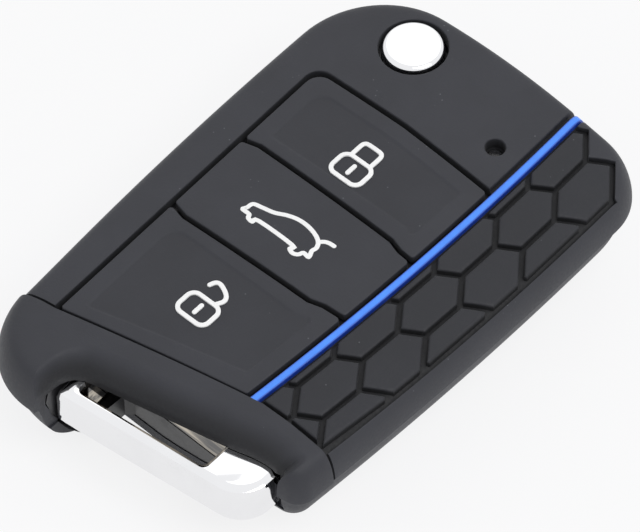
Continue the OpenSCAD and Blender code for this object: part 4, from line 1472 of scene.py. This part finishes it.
@dataclass(frozen=True)
class Honeycomb:
    """The field of leaning cells between the strip and the right side.

    Attributes:
        strip: The strip's line, which the columns follow.
        groove: Width of the grooves.
        depth: Depth of the field.
        width: Width of a cell with its groove.
        side: Height of a cell's upright sides.
        slant: Rise of its slanting sides.
        skew: How far a row falls to the right.
        rows: Number of rows.
        first: The first column's offset from the strip, in cells.
        right: The right border's offset, likewise.
        top: Middle of the first row, as a share along.
        crests: Cells and places on them that the field's upper edge runs over.
        lap: How far the field reaches under the strip.
        clear: Gap between the strip's channel and the cells.
        feet: Places across, right to left, where the field ends along the collar.
        short: A side of a cut cell shorter than this is dropped.
        least: Least width and height of a cut cell.
    """

    strip: StripLine = field(default_factory=StripLine)
    groove: float = 0.68
    depth: float = 0.95
    width: float = 5.44
    side: float = 6.0
    slant: float = 2.75
    skew: float = 0.25
    rows: int = 7
    first: float = 0.355
    right: float = 1.965
    top: float = 0.752
    crests: Pairs = ((0, -0.2), (0, 0), (0, 0.5), (2, -0.5), (2, 0), (2, 0.6))
    lap: float = 0.15
    clear: float = 0.12
    feet: tuple[float, ...] = (22.5, 19.0, 15.6, 13.5, 11.5)
    short: float = 0.3
    least: tuple[float, float] = (0.75, 0.8)

    def column(self, j: int) -> float:
        """Gives the middle of a column as an offset from the strip."""
        return (self.first + j / 2) * self.width

    def border(self) -> float:
        """Gives the field's right border as an offset from the strip."""
        return self.right * self.width

    def rise(self, d: float) -> float:
        """Gives the height of a cell's top edge over its middle.

        Args:
            d: The offset from the cell's middle.

        Returns:
            The height.
        """
        lean = (-1 if d < 0 else 1) * self.slant / (self.width / 2) + self.skew
        crest = self.slant * (1 - abs(d) / (self.width / 2))
        return self.side / 2 + crest - self.skew * d - self.groove / 2 * math.hypot(1, lean)

    def point(self, j: int, k: int, d: float, high: bool) -> np.ndarray:
        """Gives a point of the cell at a column and a row.

        Args:
            j: The column.
            k: The row.
            d: Offset from the cell's centre.
            high: Whether it lies on the upper edge.

        Returns:
            The point.
        """
        y = self.top * self.strip.form.half_l - k * (self.side + self.slant)
        y -= self.skew * (self.column(j) - self.column(1))
        y += self.rise(d) if high else -self.rise(-d)
        return np.array([self.column(j) + d + float(self.strip.x(y)), y])

    def field_plan(self, collar: "Collar") -> np.ndarray:
        """Gives the sunken field, down to the collar.

        Args:
            collar: The collar.

        Returns:
            The field's plan, anticlockwise.
        """
        over = [0, 1.5 * self.groove]
        crests = [self.point(j, 0, d * self.width, True) + over for j, d in self.crests]
        first, last = crests[0], crests[-1]
        half = self.strip.width / 2 - self.lap
        right = self.border() + self.groove / 2
        outer = self.strip.beside(right, collar.line(self.feet[0]), float(last[1]) - self.groove)
        inner = self.strip.beside(half, collar.line(self.feet[-1]), float(first[1]) - self.groove)
        path = [[float(self.strip.x(first[1])) + half, first[1]], *crests,
                [float(self.strip.x(last[1])) + right, last[1]], *outer[::-1],
                *([x, collar.line(x)] for x in self.feet[1:-1]), *inner]
        return np.array(path)[::-1]

    def fenced(self, path: np.ndarray, collar: "Collar") -> np.ndarray:
        """Cuts a cell off at the field's borders and the collar.

        Args:
            path: The cell's outline.
            collar: The collar.

        Returns:
            What is left of the outline, or no points.
        """
        y = float(path[:, 1].mean())
        slope = float(self.strip.x(y + 1) - self.strip.x(y))
        inner, outer = self.strip.width / 2 + self.clear, self.border() - self.groove / 2
        for offset, sign in ((inner, -1), (outer, 1)):
            if len(path):
                place = (float(self.strip.x(y)) + offset, y)
                path = clipped(path, place, (sign, -sign * slope))
        if not len(path):
            return path
        x1, x2 = float(path[:, 0].min()), float(path[:, 0].max())
        y1, y2 = collar.line(x1) + self.groove, collar.line(x2) + self.groove
        path = clipped(path, (x1, y1), (y2 - y1, x1 - x2))
        if len(path):
            sides = np.linalg.norm(path - np.roll(path, 1, axis=0), axis=1)
            path = path[sides > self.short]
        return path

    def lands(self, collar: "Collar") -> list[np.ndarray]:
        """Gives the raised cells.

        Args:
            collar: The collar, which cuts the last ones off.

        Returns:
            Their outlines.
        """
        made = []
        for k in range(self.rows):
            for j in (0, 2) if k % 2 == 0 else (-1, 1, 3):
                left = self.groove / 2 - self.width / 2
                right = self.border() - self.groove / 2 - self.column(j) if j == 2 else -left
                path = np.array(
                    [self.point(j, k, d, True) for d in (right, 0, left)]
                    + [self.point(j, k, d, False) for d in (left, 0, right)]
                )
                path = self.fenced(path, collar)
                if len(path) > 2 and (np.ptp(path, axis=0) > self.least).all():
                    made.append(path)
        return made


@dataclass(frozen=True)
class Collar:
    """The raised collar round the mouth end.

    Attributes:
        form: The cover's form.
        proud: How far it stands out at the sides.
        rise: How far it stands over the face.
        groove: Width and depth of the groove along it.
        edge: Width of its rounded edge.
        under: How far the groove's cutter reaches under it.
        merge: Points of it within this distance are merged.
        shares: Its upper edge, as shares.
    """

    form: CoverForm = field(default_factory=CoverForm)
    proud: float = 0.3
    rise: float = 0.3
    groove: float = 0.5
    edge: float = 0.2
    under: float = 1.0
    merge: float = 0.02
    shares: Pairs = (
        (-1.1, -0.775), (-0.79, -0.738), (-0.71, -0.7325), (0.335, -0.5853), (0.475, -0.5665),
        (0.65, -0.561), (1.1, -0.566),
    )

    def line(self, x: float) -> float:
        """Gives the collar's upper edge at x."""
        places = self.form.places(self.shares)
        return float(np.interp(x, places[:, 0], places[:, 1]))

    def over(self, plan: np.ndarray) -> Solid:
        """Extrudes a plan from the parting line to over the face."""
        return Solid.prism(plan, self.form.parting, self.form.height + 2)

    def solid(self) -> Solid:
        """Builds the raised collar with a rounded edge.

        Returns:
            The collar.
        """
        edge = self.form.places(self.shares)
        low = self.form.places([(-1.1, -1.1), (1.1, -1.1)])
        band = self.over(np.vstack([low, edge[::-1]]))
        made = self.form.solid(-self.proud, -self.rise).with_(band, Cut.COMMON)
        bmesh.ops.remove_doubles(made.bm, verts=made.bm.verts[:], dist=self.merge)
        return made.softened(self.edge, segments=2, angle=50.0)

    def trench(self) -> Solid:
        """Builds the cutter of the groove along the collar.

        Returns:
            The cutter.
        """
        edge = self.form.places(self.shares)
        strip = np.vstack([edge - [0, self.under], (edge + [0, self.groove])[::-1]])
        return self.over(strip).with_(self.form.solid(self.groove, self.groove), Cut.MINUS)


@dataclass(frozen=True)
class Pictograms:
    """The white padlocks and car inlaid in the pads, whose points are shares of their size.

    Attributes:
        form: The cover's form.
        size: Size of each.
        line: Width of the lines.
        pitch: Size of the faces that follow the skin.
        lock_at: Place of the closed padlock, as shares of the face.
        open_at: Place of the open one.
        car_at: Place of the car.
        body: Half width, half height and radius of a padlock's body.
        keyhole: Its keyhole.
        shackle: The closed shackle.
        open_shackle: The open one.
        car: Outline of the car.
        lid: Its raised boot lid.
    """

    form: CoverForm = field(default_factory=CoverForm)
    size: float = 5.5
    line: float = 0.6
    pitch: float = 2.0
    lock_at: tuple[float, float] = (-0.171, 0.29)
    open_at: tuple[float, float] = (-0.1615, -0.437)
    car_at: tuple[float, float] = (-0.175, -0.022)
    body: tuple[float, float, float] = (0.432, 0.318, 0.2)
    keyhole: Pairs = ((0, -0.12), (0, 0), (0, 0.12))
    shackle: Pairs = (
        (-0.28, 0.33), (-0.28, 0.65), (-0.25, 0.75), (-0.16, 0.79),
        (0.16, 0.79), (0.25, 0.75), (0.28, 0.65), (0.28, 0.33),
    )
    open_shackle: Pairs = (
        (0.2, 0.33), (0.29, 0.51), (0.27, 0.62), (0.18, 0.71),
        (0.02, 0.79), (-0.11, 0.82), (-0.2, 0.77), (-0.25, 0.65),
    )
    car: Pairs = (
        (-1.02, -0.14), (-1.06, -0.24), (-0.86, -0.25), (-0.8, -0.34), (-0.66, -0.36),
        (-0.57, -0.25), (0.44, -0.25), (0.47, -0.36), (0.6, -0.41), (0.72, -0.35),
        (0.78, -0.24), (0.94, -0.25), (0.88, -0.08), (0.9, 0.05), (0.82, 0.2), (0.62, 0.31),
        (0.34, 0.37), (0.06, 0.36), (-0.2, 0.28), (-0.46, 0.15), (-0.76, 0.08), (-0.98, 0.02),
    )
    lid: Pairs = ((0.82, 0.2), (0.93, 0.3), (1.04, 0.34), (1.16, 0.35))

    def inlay(self, plan: np.ndarray) -> Solid:
        """Raises a plan a little over the pad, with soft edges."""
        return self.form.relief(plan, INLAY_EDGE, self.pitch)

    def stroke(self, path: np.ndarray) -> Solid:
        """Builds a line with round ends along a path."""
        return self.inlay(ribbon(path, self.line))

    def loop(self, path: np.ndarray) -> Solid:
        """Builds a line round a closed path."""
        window = self.form.relief(moved(path, self.line / 2), WINDOW_EDGE, self.pitch)
        return self.inlay(moved(path, -self.line / 2)).with_(window, Cut.MINUS)

    def drawn(self, path: np.ndarray) -> Solid:
        """Draws a line along a path, two spans at a time.

        Args:
            path: The path's points.

        Returns:
            The line.
        """
        made = self.stroke(path[:3])
        for k in range(2, len(path) - 1, 2):
            made.with_(self.stroke(path[k:k + 3]), Cut.PLUS)
        return made

    def placed(self, shares: Points, spot: Sequence[float]) -> np.ndarray:
        """Puts shares of the size at a spot of the face."""
        return np.asarray(shares, float) * self.size + self.form.at(spot)

    def padlock(self, spot: Sequence[float], shackle: Points) -> Solid:
        """Builds a padlock.

        Args:
            spot: Its place as shares of the face.
            shackle: The points of its shackle.

        Returns:
            The padlock.
        """
        w, h, r = (share * self.size for share in self.body)
        x, y = self.form.at(spot)
        corners = ((x - w, y - h, r), (x + w, y - h, r), (x + w, y + h, r), (x - w, y + h, r))
        made = self.loop(spaced(rounded(corners, 10.0), self.pitch))
        made.with_(self.stroke(self.placed(self.keyhole, spot)), Cut.PLUS)
        return made.with_(self.stroke(flow(self.placed(shackle, spot), 4)), Cut.PLUS)

    def tailgate(self) -> Solid:
        """Builds the car with its raised boot lid.

        Returns:
            The car.
        """
        line = flow(self.placed(self.car, self.car_at), 4, closed=True)
        made = self.drawn(np.vstack([line, line[:1]]))
        return made.with_(self.stroke(flow(self.placed(self.lid, self.car_at), 4)), Cut.PLUS)

    def build(self) -> None:
        """Builds and dresses the three pictograms."""
        for node, made in (
            ("lock_symbol", self.padlock(self.lock_at, self.shackle)),
            ("unlock_symbol", self.padlock(self.open_at, self.open_shackle)),
            ("boot_symbol", self.tailgate()),
        ):
            body = frame["nodes"][node]["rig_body"]
            made.piece(f"{node}_inlay", Looks.symbol, body, "symbol", [node])


@dataclass(frozen=True)
class SiliconeCover:
    """The soft cover: skin, honeycomb, pads and coloured strip.

    Attributes:
        form: Its outer form.
        strip: The strip's line.
        panel: The panel of pads.
        comb: The field of cells.
        collar: The collar.
        wall: Its wall's thickness.
        fit: The clearance of what it holds.
        lip: Height of the mouth's lip.
        loop_z: Height of the metal loop's underside.
        loop_high: Height of the loop's top.
        loop: The loop's outline and radii, as shares.
        pivot: Place of the release button.
        release_hole: Width of its hole.
        light: Place of the light's hole.
        light_hole: Its width.
        slot_z: Floor and roof of the blade's slot.
        slot_play: Play round the blade in its slot.
        slot_ends: The slot's left end and its top end.
        tip_play: Play at the blade's tip.
        hub: Radius of the blade's hub.
        neck: How far below the pivot the blade starts.
        blade: The blade's length.
        offset: How far the blade's middle lies beside the pivot.
        half_blade: Half of its width.
        panel_deep: Depth of the opening under the pads.
        hole_deep: Depth of the round holes.
        pad_pitch: Size of the pads' faces that follow the skin.
        cell_pitch: Size of the cells'.
        mouth: Edge of the mouth in the front half, as shares.
        crease: Where the scoop round it starts.
        rear_mouth: Edge of the mouth in the rear half.
        rolls: Steps of the scoop from the mouth to the crease.
        roll: Power of its roll.
        side: How far across the face the crease's height is read.
    """

    form: CoverForm = field(default_factory=CoverForm)
    strip: StripLine = field(default_factory=StripLine)
    panel: Panel = field(default_factory=Panel)
    comb: Honeycomb = field(default_factory=Honeycomb)
    collar: Collar = field(default_factory=Collar)
    wall: float = 1.6
    fit: float = 0.1
    lip: float = 13.926
    loop_z: float = 6.0
    loop_high: float = 12.8
    loop: tuple[tuple[float, float, float], ...] = (
        (-0.448, -0.61, 0.033), (-0.448, -0.917, 0.033),
        (0.744, -0.827, 0.21), (0.744, -0.61, 0.033),
    )
    pivot: tuple[float, float] = (-11.208, 30.999)
    release_hole: float = 9.0
    light: tuple[float, float] = (6.9, 25.813)
    light_hole: float = 2.6
    slot_z: tuple[float, float] = (6.1, 9.7)
    slot_play: float = 0.8
    slot_ends: tuple[float, float] = (-26.0, 38.8)
    tip_play: float = 0.3
    hub: float = 5.4
    neck: float = 10.8
    blade: float = 46.0
    offset: float = 5.5
    half_blade: float = 4.5
    panel_deep: float = 3.4
    hole_deep: float = 3.2
    pad_pitch: float = 1.4
    cell_pitch: float = 1.1
    mouth: Pairs = (
        (0.7875, -1.1), (0.7875, -0.7106), (0.72, -0.679), (0.6, -0.682), (0.415, -0.713),
        (0.03, -0.768), (-0.32, -0.818), (-0.395, -0.838), (-0.436, -0.874),
        (-0.45, -0.93), (-0.452, -1.1),
    )
    crease: Pairs = (
        (0.9, -1.1), (0.875, -0.66), (0.79, -0.605), (0.6, -0.598), (0.415, -0.628),
        (0.03, -0.688), (-0.3, -0.738), (-0.42, -0.765), (-0.49, -0.82),
        (-0.515, -0.9), (-0.52, -1.1),
    )
    rear_mouth: Pairs = (
        (0.72, -1.1), (0.72, -0.711), (0.66, -0.678), (-0.38, -0.678), (-0.42, -0.7),
        (-0.44, -0.894), (-0.43, -1.1),
    )
    rolls: tuple[float, ...] = (0.03, 0.09, 0.17, 0.27, 0.38, 0.5, 0.62, 0.74, 0.86, 1.0)
    roll: float = 2.1
    side: float = 23.9

    def scoop(self, drop: float, low: float, soft: bool = True) -> Solid:
        """Builds the space before the mouth.

        Args:
            drop: How far it is lowered.
            low: Height of its floor.
            soft: Whether its edges leave rounded edges behind.

        Returns:
            The cutter.
        """
        steps = 5 if soft else 2
        under_lip, over_face, past, past_high, last = 0.25, 0.32, 1.12, 0.08, 1.2
        mouth, crease = (flow(self.form.places(s), steps) for s in (self.mouth, self.crease))
        way = crease - mouth
        sill = self.lip - drop - (under_lip if soft else 0.0)
        rings = [np.insert(mouth, 2, z, axis=1) for z in (low, sill)]
        face = self.form.face(np.clip(crease[:, 0], -self.side, self.side)) + over_face
        if soft:
            for t in self.rolls:
                rise = 1 - (1 - t) ** self.roll
                height = self.lip + (face - self.lip) * rise
                rings.append(np.column_stack([mouth + way * t, height]))
            rings.append(np.column_stack([mouth + way * past, face + past_high]))
        top = self.form.height + 1
        reach = last if soft else (top - self.lip) / (self.form.height - self.lip)
        rings.append(np.insert(mouth + way * reach, 2, top - drop, axis=1))
        return Solid.loft(rings)

    def blade_slot(self) -> list[Solid]:
        """Builds the cutters of the slot that the blade swings out of.

        Returns:
            The cutters: beside the blade, round its hub, and above the hub.
        """
        px, py = self.pivot
        wide, hub = self.slot_play, self.hub
        left, top = self.slot_ends
        tip = py - self.neck - self.blade - wide - self.tip_play
        half, radius = 9, 8.99
        turns = ((-1, -1), (1, -1), (1, 1), (-1, 1))
        ring = rounded([(px + s * half, py + t * half, radius) for s, t in turns])
        circle = np.array([px, py]) + unit(ring - [px, py]) * (hub + wide)
        right = px + self.offset + self.half_blade + wide + self.fit
        wedge = np.array([
            [left, py - self.fit], [px, py - self.fit],
            [px + 0.7 * hub + wide, py - 0.7 * hub - wide],
            [right, py + 0.6 * hub], [right, top], [left, top],
        ])
        inner = px - (self.offset - self.half_blade) + wide
        box = np.array([[left, tip], [inner, tip], [inner, py], [left, py]])
        return [Solid.prism(plan, *self.slot_z) for plan in (box, spaced(circle, half), wedge)]

    def hole(self, centre: Sequence[float], radius: float) -> Solid:
        """Builds the cutter of a round hole with a rounded edge.

        Args:
            centre: The hole's place.
            radius: Its radius.

        Returns:
            The cutter.
        """
        turn = np.linspace(0, 2 * math.pi, 65)[:-1]
        ring = np.column_stack([np.cos(turn), np.sin(turn)]) * radius + np.asarray(centre)
        return self.form.relief(ring, flare(self.hole_deep), 4.0)

    def channel(self) -> Solid:
        """Builds the cutter of the strip's channel, with a rounded edge beside the panel.

        Returns:
            The cutter.
        """
        w, deep = self.strip.width / 2, self.strip.thick
        left = -w - self.comb.groove
        return self.strip.band([
            (left, -deep), (w, -deep), (w, deep), (left - 0.7, deep), (left - 0.2, 0.03),
            (left - 0.06, -0.07), (left, -0.22),
        ])

    def pockets(self) -> list[Solid]:
        """Builds the cutters of the mouth in the rear half and of the metal loop.

        Returns:
            The cutters.
        """
        rear = self.form.places(self.rear_mouth)[::-1]
        loop = moved(rounded(self.form.cornered(self.loop)), -self.fit)
        return [
            Solid.prism(rear, -1, self.form.parting),
            Solid.prism(loop, self.loop_z - self.fit, self.loop_high + self.fit),
        ]

    def skin(self) -> Solid:
        """Builds the cover's skin.

        Returns:
            The skin, with its openings.
        """
        body = self.form.solid()
        part = self.panel.part(
            self.panel.low, self.panel.top, -self.comb.groove / 2, self.panel.corner
        )
        comb = self.comb.field_plan(self.collar)
        body.with_(self.form.relief(comb, flare(self.comb.depth), 1.0), Cut.MINUS)
        body.with_(self.form.relief(part, flare(self.panel_deep), 1.5), Cut.MINUS)
        body.with_(self.channel(), Cut.MINUS)
        body.with_(self.collar.trench(), Cut.MINUS)
        body.with_(self.collar.solid(), Cut.PLUS)
        hollow = self.form.solid(self.wall, self.wall, False)
        under = self.scoop(self.lip - self.loop_high - self.fit, self.loop_z, False)
        body.with_(hollow.with_(under, Cut.MINUS), Cut.MINUS)
        body.with_(self.scoop(0.0, self.loop_z - self.fit), Cut.MINUS)
        for cutter in self.pockets() + self.blade_slot():
            body.with_(cutter, Cut.MINUS)
        body.with_(self.hole(self.pivot, self.release_hole / 2), Cut.MINUS)
        return body.with_(self.hole(self.light, self.light_hole / 2), Cut.MINUS)

    def pad(self, low: Points, high: Points, corner: float, dish: bool) -> Solid:
        """Builds a pad.

        Args:
            low: The line under it.
            high: The line over it.
            corner: Radius of its upper left corner.
            dish: Whether it has a shallow dish.

        Returns:
            The pad.
        """
        gap = self.comb.groove
        plan = self.panel.part(low, high, gap / 2, corner)
        made = self.form.relief(plan, PAD_EDGE, self.pad_pitch)
        if dish:
            area = self.panel.part(low, high, 4 * gap, 3 * gap)
            made.with_(self.form.relief(area, DISH_EDGE, self.pad_pitch), Cut.MINUS)
        return made

    def build(self) -> None:
        """Builds and dresses every piece of the cover."""
        self.skin().piece(
            "cover_skin", Looks.silicone, "key", "silicone", ["silicone_cover"], self.form
        )
        lands = self.comb.lands(self.collar)
        cells = [self.form.relief(plan, CELL_EDGE, self.cell_pitch) for plan in lands]
        Solid.joined(cells).piece("honeycomb_cells", Looks.cells, "key", "silicone", (), self.form)
        p = self.panel
        for node, low, high, corner, dish in (
            ("lock", p.first, p.top, p.corner, True),
            ("boot", p.second, p.first, p.small, False),
            ("unlock", p.low, p.second, p.small, True),
        ):
            name = f"{node}_pad"
            body = frame["nodes"][name]["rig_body"]
            self.pad(low, high, corner, dish).piece(
                f"{node}_press_pad", Looks.silicone, body, "silicone", [name], self.form
            )
        left, deep = -self.strip.width / 2, -self.strip.thick
        right = self.strip.width / 2 - self.strip.gap
        section = [(left, deep), (right, deep), (right, -0.16), (right - 0.05, -0.06),
                   (right - 0.16, 0.0), (0.16 + left, 0.0), (0.05 + left, -0.06), (left, -0.16)]
        self.strip.band(section).piece("blue_strip", Looks.strip, "key", "strip", ["accent_stripe"])


@dataclass(frozen=True)
class MetalFittings:
    """The plated loop and release button, with fine bevels on their CAD shapes.

    Attributes:
        loop_edge: Width of the loop's bevels.
        button_edge: Width of the button's.
        segments: Faces across a bevel.
        angle: Least angle of an edge that gets one, in degrees.
        rim: Both ends of the loop's lower front edge, seen from above.
        margins: What stays plain at the front, the left, the right and the top.
    """

    loop_edge: float = 0.4
    button_edge: float = 0.25
    segments: int = 3
    angle: float = 35.0
    rim: Pairs = ((-10.8, -35.5), (17.9, -32.0))
    margins: tuple[float, float, float, float] = (1.1, 1.0, 2.5, 0.3)

    def build(self) -> None:
        """Builds both fittings from merged copies of their nodes."""
        edges = {"key_ring_loop": self.loop_edge, "release_button": self.button_edge}
        for node, width in edges.items():
            body = frame["nodes"][node]["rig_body"]
            form = Solid.copied(node).softened(width, self.segments, self.angle)
            made = form.piece(
                f"{node}_plated", Looks.polished_chrome, body, "polished_chrome", [node]
            )
            if node == "key_ring_loop":
                self.shade(made)

    def shade(self, loop: bpy.types.Object) -> None:
        """Marks the walls of the loop's slot, where the finish paints a reflection of the dark
        cover over them.

        Args:
            loop: The finished loop.
        """
        front, left, right, top = self.margins
        x, y, z = places_of(loop.data).T
        rim = np.interp(x, *zip(*self.rim)) + front
        inside = (x > x.min() + left) & (x < x.max() - right) & (y > rim) & (z < z.max() - top)
        # The mark where the painted reflection of the cover goes
        mark(loop.data, "hollow", inside.astype(float))


@dataclass(frozen=True)
class KeyWorks:
    """The key inside the cover, whose nodes keep their CAD shapes."""

    def build(self) -> None:
        """Dresses each node after its slot in the record."""
        for part in frame["record"]["subparts"]:
            obj = frame["nodes"].get(part["node"])
            if obj is None or obj.hide_render:
                continue
            look = getattr(Looks, part["material_slot"])
            if not obj.material_slots:
                obj.data.materials.append(look.material())
            for holder in obj.material_slots:
                holder.material = look.material()
            log.info("%s: %s", part["node"], look.name)


@dataclass(frozen=True)
class Studio:
    """Floor, light and camera.

    Attributes:
        azimuth: Turn of the camera round the object, in degrees.
        elevation: Its angle over the floor, in degrees.
        distance: Its distance, in metres.
        lens: Its focal length, in millimetres.
        sensor: Width of its sensor, in millimetres.
        nearest: The nearest that it sees, in metres.
        aim: The point at the middle of the picture, in millimetres.
        ambient: Strength of the light from all sides.
        sky: Its colour.
        floor_half: Half of the floor's side, in metres.
        floor_low: How far it lies under the object, in metres.
        lamps: Name, place in metres, side in metres and power of each lamp.
    """

    azimuth: float = 42.0
    elevation: float = 54.5
    distance: float = 0.6
    lens: float = 276.4
    sensor: float = 36.0
    nearest: float = 0.01
    aim: tuple[float, float, float] = (2.9, -2.3, 17.0)
    ambient: float = 0.62
    sky: Colour = (0.985, 0.99, 1.0)
    floor_half: float = 1.6
    floor_low: float = 0.00002
    lamps: tuple[tuple[str, tuple[float, float, float], float, float], ...] = (
        ("key_light", (0.5, 0.0, 0.92), 0.6, 4.6),
        ("fill_light", (-0.5, 0.6, 0.7), 0.8, 0.8),
    )

    def camera(self) -> None:
        """Sets the camera at the photograph's angle."""
        a, e = math.radians(self.azimuth), math.radians(self.elevation)
        back = Vector((math.sin(a) * math.cos(e), -math.cos(a) * math.cos(e), math.sin(e)))
        right = Vector((math.cos(a), math.sin(a), 0))
        lens = bpy.data.cameras.new("camera")
        lens.lens, lens.sensor_width, lens.clip_start = self.lens, self.sensor, self.nearest
        made = shown("camera", lens)
        turn = Matrix((right, back.cross(right), back)).transposed().to_4x4()
        made.matrix_world = Matrix.Translation(Vector(self.aim) * MM + back * self.distance) @ turn
        bpy.context.scene.camera = made

    def floor(self) -> None:
        """Lays the pale floor under the object."""
        bm = bmesh.new()
        bmesh.ops.create_grid(bm, x_segments=4, y_segments=4, size=self.floor_half)
        bmesh.ops.translate(bm, vec=(0, 0, -self.floor_low), verts=bm.verts[:])
        mesh = bpy.data.meshes.new("studio_floor")
        bm.to_mesh(mesh)
        bm.free()
        mesh.materials.append(Paper("floor_look", (0.93, 0.93, 0.94), 0.7).material())
        made = shown("studio_floor", mesh)

    def lamp(self, name: str, place: Sequence[float], size: float, watts: float) -> None:
        """Hangs a soft lamp that points at the object.

        Args:
            name: The lamp's name.
            place: Where it hangs, in metres.
            size: Its side, in metres.
            watts: Its power.
        """
        light = bpy.data.lights.new(name, "AREA")
        light.energy, light.size = watts, size
        made = shown(name, light)
        made.location = place
        made.rotation_euler = Vector(place).to_track_quat("Z", "Y").to_euler()

    def world(self) -> None:
        """Surrounds the object with plain light that shows white."""
        world = bpy.data.worlds.new("studio")
        bpy.context.scene.world = world
        world.use_nodes = True
        g = Graph(world.node_tree)
        strength = g.seen().between(0.0, 1.0, self.ambient, 1.0)
        sky = g.add("ShaderNodeBackground", {}, {"Color": (*self.sky, 1), "Strength": strength})
        g.add("ShaderNodeOutputWorld", {}, {"Surface": sky})

    def build(self) -> None:
        """Sets up the whole studio."""
        bpy.context.scene.view_settings.view_transform = "Standard"
        self.camera()
        self.floor()
        self.world()
        for lamp in self.lamps:
            self.lamp(*lamp)


def main() -> None:
    """Builds the scene."""
    logging.basicConfig(level=logging.INFO, format="%(message)s")
    Studio().build()
    SiliconeCover().build()
    Pictograms().build()
    MetalFittings().build()
    KeyWorks().build()


if __name__ == "__main__":
    main()
